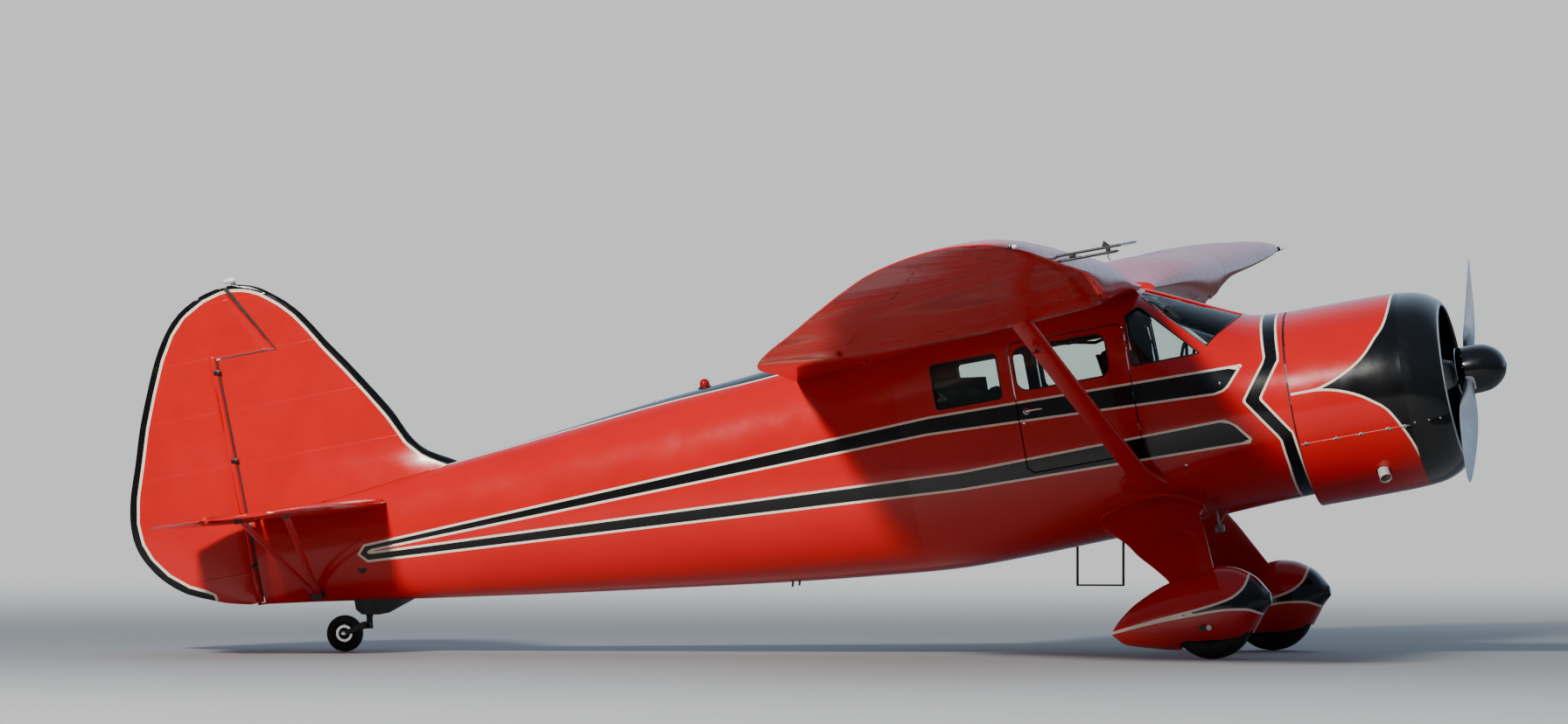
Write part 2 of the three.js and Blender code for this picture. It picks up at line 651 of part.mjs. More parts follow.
// Flat tail surface from sections. Columns: height along the span, front, back, half thickness
const TAIL_STEPS = [[0, 0], [0.02, 0.5], [0.08, 0.8], [0.25, 1], [0.6, 0.86], [0.96, 0.3], [1, 0.16]];

function slimSection(place, front, back, halfThickness, roundNose) {
  const chord = front - back;
  const nose = roundNose ? TAIL_STEPS.map(([f, t]) => [f, f > 0.02 && f < 0.3 ? 1 : t]) : TAIL_STEPS;
  const over = nose.map(([f, t]) => place(front - f * chord, t * halfThickness));
  const under = nose.slice(1).map(([f, t]) => place(front - f * chord, -t * halfThickness)).reverse();
  return [...over, ...under];
}

// Fin, with the slanted edge that faces the rudder's balance horn
const HORN = { foot: { x: -5920, z: 2783 }, head: { x: -6196, z: 3236 }, gap: 9, reach: 0.92 };
const finBack = (z) => rudderHingeX(z) + RUDDER.noseRadius + PANEL_GAP;

function fin(grow) {
  const heights = [1700, 1850, 1958, 2061, 2250, 2418, 2759, 2902, 3002, 3082, 3137, 3187, 3219, 3239];
  const rings = heights.map((z) => {
    const front = rowAt(FIN_EDGE, z)[1] + grow;
    const base = THREE.MathUtils.smoothstep(2100 - z, 0, 400);
    const halfThickness = lerp(36, 20, (z - 1700) / 1550) + 34 * base + 2 * grow;
    return slimSection((x, y) => vector(x, y, z), front, finBack(z), halfThickness, false);
  });
  const hornSpace = sidePrism([
    [HORN.foot.x + HORN.gap * 1.3, HORN.foot.z - HORN.gap / 2],
    [HORN.head.x + HORN.gap * 1.3, HORN.head.z + 30],
    [HORN.head.x - 600, HORN.head.z + 30],
    [HORN.head.x - 600, HORN.foot.z - HORN.gap / 2],
  ], -200, 200);
  return solid(loft(rings)).subtract(hornSpace);
}

const rudderAxis = (z) => vector(rudderHingeX(z), 0, z);

function rudder() {
  const rings = [];
  const heights = [1182, 1259, 1427, 1600, 1829, 2100, 2434, 2649];
  heights.forEach((z) => rings.push(rudderRing(z, rudderHingeX(z))));
  const body = solid(loft([...rings, ...[2862, 3017, 3124, 3185].map((z) => rudderRing(z, rudderHingeX(z)))]));
  const nose = bar(rudderAxis(RUDDER.bottomZ + 2), rudderAxis(RUDDER.hornZ + 40), RUDDER.noseRadius, 14);
  const hornHeights = [HORN.foot.z + 5, 2860, 2960, 3060, 3124, 3205, 3232];
  const horn = solid(loft(hornHeights.map((z) => {
    const t = (z - HORN.foot.z) / (HORN.head.z - HORN.foot.z);
    return rudderRing(z, lerp(HORN.foot.x, HORN.head.x, t) - 3, HORN.reach);
  })));
  const pivot = bar(
    rudderAxis(RUDDER.bottomZ - 5), rudderAxis(RUDDER.bottomZ + RUDDER_PIVOT.depth + 5), RUDDER_PIVOT.radius + 0.5, 12,
  );
  return body.add(nose).add(horn).subtract(pivot);
}

function rudderRing(z, front, reach = 1) {
  const back = lerp(front, rowAt(RUDDER_EDGE, z)[1], reach);
  const halfThickness = lerp(RUDDER.noseRadius - 2, 16, THREE.MathUtils.clamp((z - 2300) / 900, 0, 1));
  return slimSection((x, y) => vector(x, y, z), front, back, halfThickness, true);
}

// Tailplane halves and elevators, port side; the nose of the elevator turns about its hinge
const TAILPLANE_PITCH = degrees(-3.3);
const TAILPLANE_STATIONS = [0, 250, 700, 1200, 1550, 1800, 1920, 1960];

function tailplanePoint(y, x, height) {
  const ahead = x - ELEVATOR.hingeX;
  return vector(x, y, ELEVATOR.hingeZ + ahead * Math.tan(TAILPLANE_PITCH) + height);
}

function tailplaneTaper(y) {
  return Math.sqrt(Math.max(0.02, 1 - (y / 1975) ** 4));
}

function stabilizer() {
  const back = ELEVATOR.hingeX + ELEVATOR.noseRadius + PANEL_GAP;
  const rings = TAILPLANE_STATIONS.filter((y) => y < 1950).map((y) => {
    const front = rowAt(TAILPLANE_EDGE, y)[1];
    return slimSection((x, h) => tailplanePoint(y, x, h), front, back, 36 * tailplaneTaper(y), false);
  });
  return solid(loft(rings)).subtract(fuselageSkin);
}

function elevator() {
  const rings = TAILPLANE_STATIONS.map((y) => {
    const back = rowAt(TAILPLANE_EDGE, y)[2];
    const half = (ELEVATOR.noseRadius - 2) * tailplaneTaper(y);
    return slimSection((x, h) => tailplanePoint(y, x, h), ELEVATOR.hingeX, back, half, true);
  });
  const nose = bar(elevatorHinge(ELEVATOR.innerY), elevatorHinge(ELEVATOR.noseEndY), ELEVATOR.noseRadius, 12);
  const rudderSpace = solid(loft([[-6100, 150], [-6320, 150], [-6760, 345]].map(([x, y]) => [
    vector(x, -10, 1500), vector(x, y, 1500), vector(x, y, 1900), vector(x, -10, 1900),
  ])));
  return solid(loft(rings)).add(nose).subtract(rudderSpace);
}


function elevatorTube() {
  const half = ELEVATOR.innerY - SEAT_GAP;
  return bar(elevatorHinge(-half), elevatorHinge(half), ELEVATOR_TUBE.radius, 16);
}

function aftFuselage() {
  const { hingeX, bottomZ } = RUDDER;
  const arm = box(hingeX - 18, FUSELAGE.sternPost + 25, -16, 16, bottomZ - 16, bottomZ - 3);
  const pin = bar(rudderAxis(bottomZ - 8), rudderAxis(bottomZ + RUDDER_PIVOT.depth), RUDDER_PIVOT.radius, 12);
  return fuselageSolid(FUSELAGE.cabinBack - SEAT_GAP, FUSELAGE.sternPost, 0)
    .subtract(elevatorTubeSlot).add(arm).add(pin);
}

// Brace struts under one half of the tailplane, from one fitting on the side of the stern
const TAIL_BRACE = { foot: [-5919, 1166], y: 1500, tops: [-5767, -6072], chord: 44, thickness: 20 };

function tailBrace() {
  const { foot: [footX, footZ], y, tops, chord, thickness } = TAIL_BRACE;
  const legs = tops.map((x) => solid(loft(fairedBar([
    [footX, 40, footZ - 24, chord, thickness],
    [x, y, tailplanePoint(y, x, 0).z, chord, thickness],
  ], 8))));
  const fitting = box(footX - 40, footX + 40, 40, 130, footZ - 30, footZ + 12);
  return legs.reduce((sum, leg) => sum.add(leg), fitting)
    .subtract(solid(tailplaneGrown)).subtract(fuselageSkin);
}

// Tailplane grown by the seat gap, to cut the brace struts
const tailplaneGrown = loft(TAILPLANE_STATIONS.map((y) => {
  const [, front, back] = rowAt(TAILPLANE_EDGE, y);
  const half = 36 * tailplaneTaper(y) + 3 * SEAT_GAP;
  return slimSection((x, h) => tailplanePoint(y, x, h), front + 1, back - 1, half, true);
}));

// Main landing gear, port side, about the axle's middle
const AXLE = {
  x: (MAIN_WHEEL.radius - AIRFRAME_ORIGIN.z) * Math.sin(PARKED_PITCH),
  z: (MAIN_WHEEL.radius - AIRFRAME_ORIGIN.z) * Math.cos(PARKED_PITCH),
};
const WHEEL_WELL = { radius: MAIN_WHEEL.radius + 14, halfWidth: MAIN_WHEEL.width / 2 + 16 };

// Half of the wheel well's profile, which follows the tyre's shoulder. Columns: y, radius
const WELL_PROFILE = [[WHEEL_WELL.halfWidth, 0], [WHEEL_WELL.halfWidth, 205], [100, 254], [60, WHEEL_WELL.radius]];

function pantRing([x, top, bottom, halfWidth], grow) {
  const sides = 18;
  const [middle, height] = [(top + bottom) / 2, (top - bottom) / 2 + grow];
  return Array.from({ length: sides }, (_, i) => {
    const angle = (i / sides) * 2 * Math.PI;
    const [across, up] = [Math.cos(angle), Math.sin(angle)];
    const power = (value) => Math.sign(value) * Math.abs(value) ** (2 / 2.3);
    return vector(x, MAIN_WHEEL.halfTrack + (halfWidth + grow) * power(across), middle + height * power(up));
  });
}

function pantOuter(grow) {
  const stations = [-658, -625, -592, -463, -330, -150, 59, 150, 230, 290, 350, 388];
  return solid(loft(stations.map((x) => pantRing(rowAt(PANT_SECTIONS, x), grow))));
}

function wheelPant() {
  const { radius, halfWidth } = WHEEL_WELL;
  const wheelY = MAIN_WHEEL.halfTrack;
  const half = WELL_PROFILE.map(([y, r]) => [-y, r]);
  const well = solid(turnedAlongY([...half, ...[...WELL_PROFILE].reverse()], 26).translate(AXLE.x, wheelY, AXLE.z));
  const mouth = box(AXLE.x - 190, AXLE.x + radius - 30, wheelY - halfWidth, wheelY + halfWidth, -400, AXLE.z - 150);
  return pantOuter(0).subtract(well).subtract(mouth);
}

const LEG_ROWS = [
  [-395, 430, 755, 680, 190],
  [-390, 560, 684, 660, 170],
  [-378, 620, 650, 612, 112],
  [-240, 960, 455, 455, 88],
  [-107, 1300, 262, 304, 74],
  [-90, 1400, 205, 290, 74],
];

function gearLeg() {
  return solid(loft(fairedBar(LEG_ROWS, 16))).subtract(fuselageSkin).subtract(pantOuter(SEAT_GAP));
}

const WHEEL_SIDES = 22;

// Wheels, about their own middles with the axle along y
function tyre({ radius, width, rimRadius }) {
  const half = width / 2;
  return turnedAlongY([
    [-half * 0.62, rimRadius + SEAT_GAP], [-half, rimRadius + (radius - rimRadius) * 0.45],
    [-half * 0.86, radius * 0.93], [-half * 0.4, radius], [half * 0.4, radius],
    [half * 0.86, radius * 0.93], [half, rimRadius + (radius - rimRadius) * 0.45],
    [half * 0.62, rimRadius + SEAT_GAP],
  ], WHEEL_SIDES);
}

function wheelHub({ width, rimRadius, axleRadius }) {
  const half = width / 2;
  const bore = axleRadius + 0.5;
  return turnedAlongY([
    [-half * 0.8, bore], [-half * 0.8, bore + 12], [-half * 0.3, rimRadius - 14],
    [-half * 0.62, rimRadius], [half * 0.62, rimRadius],
    [half * 0.3, rimRadius - 14], [half * 0.8, bore + 12], [half * 0.8, bore],
  ], WHEEL_SIDES);
}

function mainAxle() {
  const reach = WHEEL_WELL.halfWidth - SEAT_GAP;
  const flange = (y) => bar(vector(0, y, 0), vector(0, y + 6, 0), MAIN_WHEEL.axleRadius + 12, 12);
  return bar(vector(0, -reach, 0), vector(0, reach, 0), MAIN_WHEEL.axleRadius, WHEEL_SIDES)
    .add(flange(-reach)).add(flange(reach - 6));
}

// Tail wheel, in upright coordinates on the ground
const SWIVEL = { x: TAIL_WHEEL.x + TAIL_WHEEL.trail, z: 240, pinRadius: 14, headRadius: 22, foot: 150 };

function tailwheelFork() {
  const armY = TAIL_WHEEL.width / 2 + 12;
  const axle = { x: TAIL_WHEEL.x, z: TAIL_WHEEL.radius };
  const arms = [1, -1].map((side) => solid(loft([
    [SWIVEL.x + 12, SWIVEL.foot + 22, 20], [axle.x + 60, axle.z + 22, 17], [axle.x - 12, axle.z, 15],
  ].map(([x, z, half]) => [
    vector(x, side * armY - 5, z + half), vector(x, side * armY - 5, z - half),
    vector(x, side * armY + 5, z - half), vector(x, side * armY + 5, z + half),
  ]))));
  const bridge = box(SWIVEL.x - 18, SWIVEL.x + 12, -armY - 5, armY + 5, SWIVEL.foot, SWIVEL.foot + 40);
  const head = bar(vector(SWIVEL.x, 0, SWIVEL.foot), vector(SWIVEL.x, 0, SWIVEL.z - SEAT_GAP), SWIVEL.headRadius, 14);
  const pin = bar(vector(SWIVEL.x, 0, SWIVEL.foot + 4), vector(SWIVEL.x, 0, SWIVEL.z + 40), SWIVEL.pinRadius, 12);
  const spindle = bar(
    vector(axle.x, -armY - 4, axle.z), vector(axle.x, armY + 4, axle.z), TAIL_WHEEL.axleRadius, 12,
  );
  return [...arms, bridge, head, pin].reduce((sum, piece) => sum.add(piece), spindle);
}

// Housing that carries the tail wheel under the stern. Outline columns: x, z
const TAIL_HOUSING = [
  [-5800, 336], [-5788, 272], [-5748, SWIVEL.z], [-5640, SWIVEL.z], [-5580, 252], [-5386, 357],
  [-5250, 420], [-5790, 420],
];

function tailwheelMount() {
  const bore = bar(vector(SWIVEL.x, 0, SWIVEL.z - 5), vector(SWIVEL.x, 0, SWIVEL.z + 41), SWIVEL.pinRadius + 0.7, 12);
  return sidePrism(TAIL_HOUSING, -34, 34).subtract(bore).subtract(bellyInUpright);
}

// Fuselage skin in upright coordinates, to cut what stands under it
const parkedMatrix = new THREE.Matrix4().makeRotationY(-PARKED_PITCH).setPosition(0, 0, AIRFRAME_ORIGIN.z);
const bellyInUpright = solid(geometryOf(fuselageSkin).applyMatrix4(parkedMatrix));

// Boarding stirrup under the port side, upright
const STEP = { y: 450, back: -1148, front: -837, tread: 440, top: 860, width: 40, legThickness: 12 };

function boardingStep() {
  const { y, back, front, tread, top, width, legThickness } = STEP;
  const [y1, y2] = [y - width / 2, y + width / 2];
  return box(back, front, y1, y2, tread - 10, tread)
    .add(box(back, back + legThickness, y1, y2, tread - 10, top))
    .add(box(front - legThickness, front, y1, y2, tread - 10, top))
    .subtract(bellyInUpright);
}

// Cowling around the engine. Profile columns: x, outer radius
const COWL_PROFILE = [[631, 632], [800, 633], [1100, 633], [1250, 631], [1360, 625]];
const NOSE_PROFILE = [
  [1360, 625], [1430, 616], [1495, 598], [1550, 572], [1592, 541], [1612, 515],
  [1613, 497], [1590, 493], [1530, 512], [1360, 606],
];

const cowlShell = solid(turnedAlongX(
  [...COWL_PROFILE, ...[...COWL_PROFILE].reverse().map(([x, radius]) => [x, radius - COWL.wall])], COWL.z, 36,
));

function cowlPart(upper) {
  const cut = upper
    ? box(0, 2000, -900, 900, 0, COWL.seamZ + SEAT_GAP / 2)
    : box(0, 2000, -900, 900, COWL.seamZ - SEAT_GAP / 2, 3000);
  const shell = cowlShell.subtract(cut);
  return upper ? shell : shell.subtract(bar(EXHAUST.inside, EXHAUST.outside, EXHAUST.radius + 10, 20));
}

function cowlNose() {
  return solid(turnedAlongX(NOSE_PROFILE.map(([x, r]) => [x + (x < 1361 ? SEAT_GAP : 0), r]), COWL.z, 36));
}

// Nine-cylinder radial engine with its exhaust collector, crankcase and shaft
const ENGINE = { cylinders: 9, cylinderX: 1165, barrelRadius: 66, headRadius: 82, reach: 508, sides: 8 };
const EXHAUST = {
  inside: vector(1075, -285, 860), outside: vector(1122, -452, 668), radius: 38,
};

function engine() {
  const crankcase = solid(turnedAlongX([
    [COWL.back, 0], [COWL.back, 170], [930, 170], [1000, 240], [1320, 240], [1370, 200],
    [1480, 130], [1618, 78], [1618, 32], [1700, 32], [1700, 0],
  ], THRUST.z, 20));
  const along = (angle, radius, x) => vector(x, radius * Math.cos(angle), THRUST.z + radius * Math.sin(angle));
  const cylinders = Array.from({ length: ENGINE.cylinders }, (_, i) => {
    const angle = degrees(90 + (i * 360) / ENGINE.cylinders);
    const at = (radius) => along(angle, radius, ENGINE.cylinderX);
    const barrel = bar(at(200), at(380), ENGINE.barrelRadius, ENGINE.sides);
    const head = bar(at(370), at(ENGINE.reach), ENGINE.headRadius, ENGINE.sides);
    return barrel.add(head);
  });
  const ring = cleaned(new THREE.TorusGeometry(400, 26, 5, 18).rotateY(Math.PI / 2)
    .translate(ENGINE.cylinderX - 95, 0, THRUST.z));
  const outward = EXHAUST.outside.clone().sub(EXHAUST.inside).normalize();
  const elbow = EXHAUST.inside.clone().addScaledVector(outward, -80);
  const outlet = bar(vector(1080, -228, 1000), elbow, EXHAUST.radius, 12)
    .add(bar(elbow, EXHAUST.inside, EXHAUST.radius, 20));
  const mounts = [45, 135, 225, 315].map((angle) => bar(
    along(degrees(angle), 300, COWL.back), along(degrees(angle), 225, 1015), 14, 8,
  ));
  return [...cylinders, solid(ring), outlet, ...mounts].reduce((sum, piece) => sum.add(piece), crankcase)
    .subtract(box(0, COWL.back, -500, 500, 500, 2000));
}

function exhaustPipe() {
  const direction = EXHAUST.outside.clone().sub(EXHAUST.inside).normalize();
  const start = EXHAUST.inside.clone().addScaledVector(direction, SEAT_GAP);
  const bore = bar(
    EXHAUST.outside.clone().addScaledVector(direction, -90),
    EXHAUST.outside.clone().addScaledVector(direction, 10), EXHAUST.radius - 5, 20,
  );
  return bar(start, EXHAUST.outside, EXHAUST.radius, 20).subtract(bore);
}

// Propeller pieces about the hub's middle, shaft along x, first blade up
const HUB_BORE = 32.8;

function propellerHub() {
  const boss = solid(turnedAlongX([[-72, 0], [-72, 80], [45, 80], [45, 0]], 0, 16));
  const barrel = bar(vector(0, 0, -155), vector(0, 0, 155), 46, 14);
  const bore = bar(vector(-80, 0, 0), vector(60, 0, 0), HUB_BORE, 20);
  return boss.add(barrel).subtract(bore);
}

function propellerBlade() {
  const sides = 12;
  const radii = [156, 230, 300, 400, 560, 820, 1050, 1150, 1200, 1220];
  return solid(loft(radii.map((radius) => {
    const [, chord, thickness, angle] = rowAt(BLADE_SECTIONS, radius);
    const turn = degrees(angle);
    return Array.from({ length: sides }, (_, i) => {
      const phase = (i / sides) * 2 * Math.PI;
      const [a, b] = [Math.cos(phase) * chord / 2, Math.sin(phase) * thickness / 2];
      return vector(b * Math.cos(turn) - a * Math.sin(turn), a * Math.cos(turn) + b * Math.sin(turn), radius);
    });
  })));
}

const SPINNER_PROFILE = [[-66, 148], [-10, 155], [60, 155], [130, 145], [190, 112], [230, 64], [250, 0]];

function spinner() {
  const wall = 5;
  const outer = solid(turnedAlongX([[-66, 0], ...SPINNER_PROFILE], 0, 22));
  const hollow = SPINNER_PROFILE.map(([x, radius], i) => [
    i === 0 ? x + wall : x - (radius < 100 ? wall : 0), Math.max(0, radius - wall),
  ]);
  const inner = solid(turnedAlongX([[-66 + wall, 0], ...hollow], 0, 22));
  const shanks = bar(vector(0, 0, -200), vector(0, 0, 200), 56, 14);
  const seat = solid(turnedAlongX([[-100, 0], [-100, 80 + SEAT_GAP], [0, 80 + SEAT_GAP], [0, 0]], 0, 16));
  return outer.subtract(inner).subtract(shanks).subtract(seat);
}

// Cabin fittings
const FLOOR = { top: 800, thickness: 14 };
const PANEL = { x: 235, thickness: 18, bottom: 1370, top: 1712 };

function cabinFloor() {
  return box(-1865, 600, -590, 590, FLOOR.top - FLOOR.thickness, FLOOR.top).intersect(cabinLining);
}

function instrumentPanel() {
  const { x, thickness, bottom, top } = PANEL;
  const board = box(x, x + thickness, -620, 620, bottom, top).intersect(cabinLining);
  const yokes = [-270, 270].map((y) => {
    const shaft = bar(vector(x + 5, y, 1560), vector(x - 290, y, 1640), 14, 8);
    const wheel = cleaned(new THREE.TorusGeometry(120, 11, 5, 12).rotateY(Math.PI / 2 + 0.25)
      .translate(x - 290, y, 1640));
    const spoke = bar(vector(x - 290, y - 118, 1640), vector(x - 290, y + 118, 1640), 9, 8);
    return shaft.add(solid(wheel)).add(spoke);
  });
  return board.add(yokes[0]).add(yokes[1]);
}

// Front seat, starboard side: legs, cushion and back
const SEAT = { y: 270, halfWidth: 215, front: 10, back: -430, cushionTop: 1180, backTop: 1830 };

function frontSeat() {
  const { y, halfWidth, front, back, cushionTop, backTop } = SEAT;
  const [y1, y2] = [y - halfWidth, y + halfWidth];
  const cushion = box(back, front, y1, y2, cushionTop - 140, cushionTop);
  const rest = sidePrism([
    [back + 30, cushionTop - 140], [back + 30, cushionTop + 60], [back - 60, backTop],
    [back - 170, backTop - 10], [back - 90, cushionTop - 140],
  ], y1, y2);
  const legs = [[back, y1 + 30], [back, y2 - 110], [front - 60, y1 + 30], [front - 60, y2 - 110]].map(([x, legY]) =>
    box(x, x + 30, legY, legY + 30, FLOOR.top + SEAT_GAP, cushionTop - 130));
  return legs.reduce((sum, leg) => sum.add(leg), cushion.add(rest)).intersect(cabinLining);
}

const BENCH = { halfWidth: 530, front: -860, back: -1330, cushionTop: 1200, backTop: 1740 };

function rearBench() {
  const { halfWidth, front, back, cushionTop, backTop } = BENCH;
  const base = box(back, front - 40, -halfWidth + 20, halfWidth - 20, FLOOR.top + SEAT_GAP, cushionTop - 140);
  const cushion = box(back, front, -halfWidth, halfWidth, cushionTop - 140, cushionTop);
  const rest = sidePrism([
    [back + 40, cushionTop - 140], [back + 40, cushionTop], [back, backTop], [back - 115, backTop],
    [back - 100, cushionTop - 140],
  ], -halfWidth, halfWidth);
  return base.add(cushion).add(rest).intersect(cabinLining);
}

const LUGGAGE = { front: -1455, back: -1866, halfWidth: 520, top: 1790, wall: 12 };

function luggageBox() {
  const { front, back, halfWidth, top, wall } = LUGGAGE;
  return box(back, front, -halfWidth, halfWidth, FLOOR.top + SEAT_GAP, top)
    .subtract(box(back + wall, front - wall, -halfWidth + wall, halfWidth - wall, FLOOR.top + wall, top + 10))
    .intersect(cabinLining);
}

// Assembly
const airplane = new THREE.Group();
airplane.position.set(AIRFRAME_ORIGIN.x, 0, 0);
const airframe = new THREE.Group();
airframe.rotation.y = -PARKED_PITCH;
airframe.position.z = AIRFRAME_ORIGIN.z;
airplane.add(airframe);

function place(parent, name, shape, finish, position = [0, 0, 0]) {
  const geometry = shape.isBufferGeometry ? shape : geometryOf(shape);
  const mesh = new THREE.Mesh(geometry, finish);
  mesh.name = name;
  mesh.position.set(...position);
  parent.add(mesh);
  return mesh;
}

const SIDES = [['right', -1], ['left', 1]];

place(airframe, 'cabin_shell', cabinShell(), RED);
place(airframe, 'aft_fuselage', aftFuselage(), RED);
place(airframe, 'firewall', firewall(), DARK_STEEL);
place(airframe, 'cowl_upper', cowlPart(true), RED);
place(airframe, 'cowl_lower', cowlPart(false), RED);
place(airframe, 'cowl_nose_ring', cowlNose(), BLACK);
place(airframe, 'engine', engine(), ENGINE_METAL);
place(airframe, 'exhaust_pipe', exhaustPipe(), POLISHED);
place(airframe, 'windshield', glassLayer.intersect(throughBothSides(shrunk(WINDSHIELD, SEAT_GAP))), CLEAR);
place(airframe, 'cabin_floor', cabinFloor(), DARK_STEEL);
place(airframe, 'instrument_panel', instrumentPanel(), BLACK);
place(airframe, 'rear_seat', rearBench(), CLOTH);
place(airframe, 'luggage_box', luggageBox(), PALE_CLOTH);
const sternEnd = box(FUSELAGE.sternPost - 60, FUSELAGE.sternPost + 1, -60, 60, 1600, 1736);
place(airframe, 'fin', fin(0).subtract(fuselageSkin).subtract(elevatorTubeSlot).subtract(sternEnd), RED);
place(airframe, 'rudder', rudder(), RED);
place(airframe, 'elevator_torque_tube', elevatorTube(), DARK_STEEL);
place(airframe, 'pitot_boom', mirrored(geometryOf(pitotBoom())), DARK_STEEL);

const wingStrutShape = geometryOf(wingStrut());
const finGrown = fin(2 * SEAT_GAP);
SIDES.forEach(([name, side]) => {
  place(airframe, `door_${name}`, doorPanel(side), RED);
  place(airframe, `door_window_${name}`, windowPane(DOOR_WINDOW, side), CLEAR);
  place(airframe, `quarter_window_${name}`, windowPane(QUARTER_WINDOW, side), CLEAR);
  place(airframe, `rear_window_${name}`, windowPane(REAR_WINDOW, side), CLEAR);
  place(airframe, `wing_${name}`, onSide(side, geometryOf(wingShape)), RED);
  place(airframe, `aileron_${name}`, onSide(side, geometryOf(aileronShape)), RED);
  place(airframe, `flap_${name}`, onSide(side, geometryOf(flapShape)), RED);
  place(airframe, `wing_strut_${name}`, onSide(side, wingStrutShape), RED);
  const tailplaneHalf = solid(onSide(side, geometryOf(stabilizer()))).subtract(finGrown);
  place(airframe, `stabilizer_${name}`, tailplaneHalf, RED);
  place(airframe, `elevator_${name}`, onSide(side, geometryOf(elevator())), RED);
  place(airframe, `tail_brace_${name}`, onSide(side, geometryOf(tailBrace())), RED);
  place(airframe, `gear_leg_${name}`, onSide(side, geometryOf(gearLeg())), RED);
  place(airframe, `wheel_pant_${name}`, onSide(side, geometryOf(wheelPant())), RED);
  place(airframe, `front_seat_${name}`, onSide(side, geometryOf(frontSeat())), CLOTH);

  const wheel = new THREE.Group();
  wheel.position.set(AXLE.x, side * MAIN_WHEEL.halfTrack, AXLE.z);
  airframe.add(wheel);
  place(wheel, `main_tyre_${name}`, tyre(MAIN_WHEEL), RUBBER);
  place(wheel, `main_hub_${name}`, wheelHub(MAIN_WHEEL), RIM);
  place(wheel, `main_axle_${name}`, mainAxle(), DARK_STEEL);
});

const propeller = new THREE.Group();
propeller.position.set(PROPELLER.x, 0, THRUST.z);
propeller.rotation.x = PROPELLER.rake;
airframe.add(propeller);
place(propeller, 'prop_hub', propellerHub(), POLISHED);
place(propeller, 'spinner', spinner(), BLACK);
place(propeller, 'prop_blade_a', propellerBlade(), BLADE_METAL);
place(propeller, 'prop_blade_b', propellerBlade(), BLADE_METAL).rotation.x = Math.PI;

place(airplane, 'boarding_step', boardingStep(), DARK_STEEL);
place(airplane, 'tailwheel_mount', tailwheelMount(), DARK_STEEL);
place(airplane, 'tailwheel_fork', tailwheelFork(), DARK_STEEL);
const tailWheelCentre = [TAIL_WHEEL.x, 0, TAIL_WHEEL.radius];
place(airplane, 'tailwheel_tyre', tyre(TAIL_WHEEL), RUBBER, tailWheelCentre);
place(airplane, 'tailwheel_hub', wheelHub(TAIL_WHEEL), RIM, tailWheelCentre);

export default airplane;
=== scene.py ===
"""Looks for the high-wing cabin monoplane: paint, glass, cloth, engine and small fittings.
Lengths are in millimetres in the airframe's own level axes (x forward, y to port, z up),
and are turned into the frame's metres as each piece is made."""

import math

import bmesh
import bpy
import numpy as np
from mathutils import Matrix, Vector


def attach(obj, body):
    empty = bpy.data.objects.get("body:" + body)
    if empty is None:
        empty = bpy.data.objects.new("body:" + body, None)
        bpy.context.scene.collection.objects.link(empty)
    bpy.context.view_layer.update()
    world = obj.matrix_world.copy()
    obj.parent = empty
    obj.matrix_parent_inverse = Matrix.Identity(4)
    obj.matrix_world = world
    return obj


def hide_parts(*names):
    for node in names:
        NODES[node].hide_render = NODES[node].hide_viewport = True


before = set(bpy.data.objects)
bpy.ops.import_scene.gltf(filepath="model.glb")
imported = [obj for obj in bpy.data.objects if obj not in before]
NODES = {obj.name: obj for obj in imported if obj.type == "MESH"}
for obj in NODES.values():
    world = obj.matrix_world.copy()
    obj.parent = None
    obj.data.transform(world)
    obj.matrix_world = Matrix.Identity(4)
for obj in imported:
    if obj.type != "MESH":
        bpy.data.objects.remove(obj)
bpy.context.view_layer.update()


def in_scene(name, data):
    obj = bpy.data.objects.new(name, data)
    bpy.context.scene.collection.objects.link(obj)
    return obj


def refinish(finish, *names):
    """One material for CAD nodes that show as they are."""
    for name in names:
        NODES[name].data.materials.clear()
        NODES[name].data.materials.append(finish)


# Camera, far off with a long lens, as in the photograph
VIEW = (-0.1616, 0.9869)
VIEW_DOWN = 0.004966
CAMERA_PLACE = (17.29 + 2.78671, -123.84, 2.5)
FOCAL_PIXELS, PHOTO_WIDTH = 22250, 1792
camera_data = bpy.data.cameras.new("camera")
camera_data.sensor_width = 36
camera_data.lens = FOCAL_PIXELS / PHOTO_WIDTH * camera_data.sensor_width
camera_data.clip_start = 1
camera_data.clip_end = 1000
camera = in_scene("camera", camera_data)
camera.location = CAMERA_PLACE
looking = Vector((VIEW[0] * math.cos(VIEW_DOWN), VIEW[1] * math.cos(VIEW_DOWN), -math.sin(VIEW_DOWN)))
camera.rotation_euler = looking.to_track_quat("-Z", "Y").to_euler()
bpy.context.scene.camera = camera

# The CAD's driving dimensions
PITCH = math.radians(10.3)
ORIGIN = (2786.71, 280.0)
HINGE_X, HINGE_RAKE, RUDDER_BOTTOM = -6312, 0.02, 1182
ELEVATOR_X, ELEVATOR_Z, TAILPLANE_TILT = -6235, 1728, math.tan(math.radians(-3.3))
COWL_Z, THRUST_Z, COWL_SEAM_Z = 1206, 1262, 975
AXLE = (-15 * math.sin(PITCH), 1400, -15 * math.cos(PITCH))
PROP_X, PROP_RAKE = 1712, math.radians(126)
TAIL_AXLE = (-5866, 0, 118)
MAIN_TYRE = {"radius": 265, "width": 200, "rim": 132, "sides": 96, "ribs": 5}
TAIL_TYRE = {"radius": 118, "width": 78, "rim": 58, "sides": 72, "ribs": 3}
SWIVEL_X = -5704

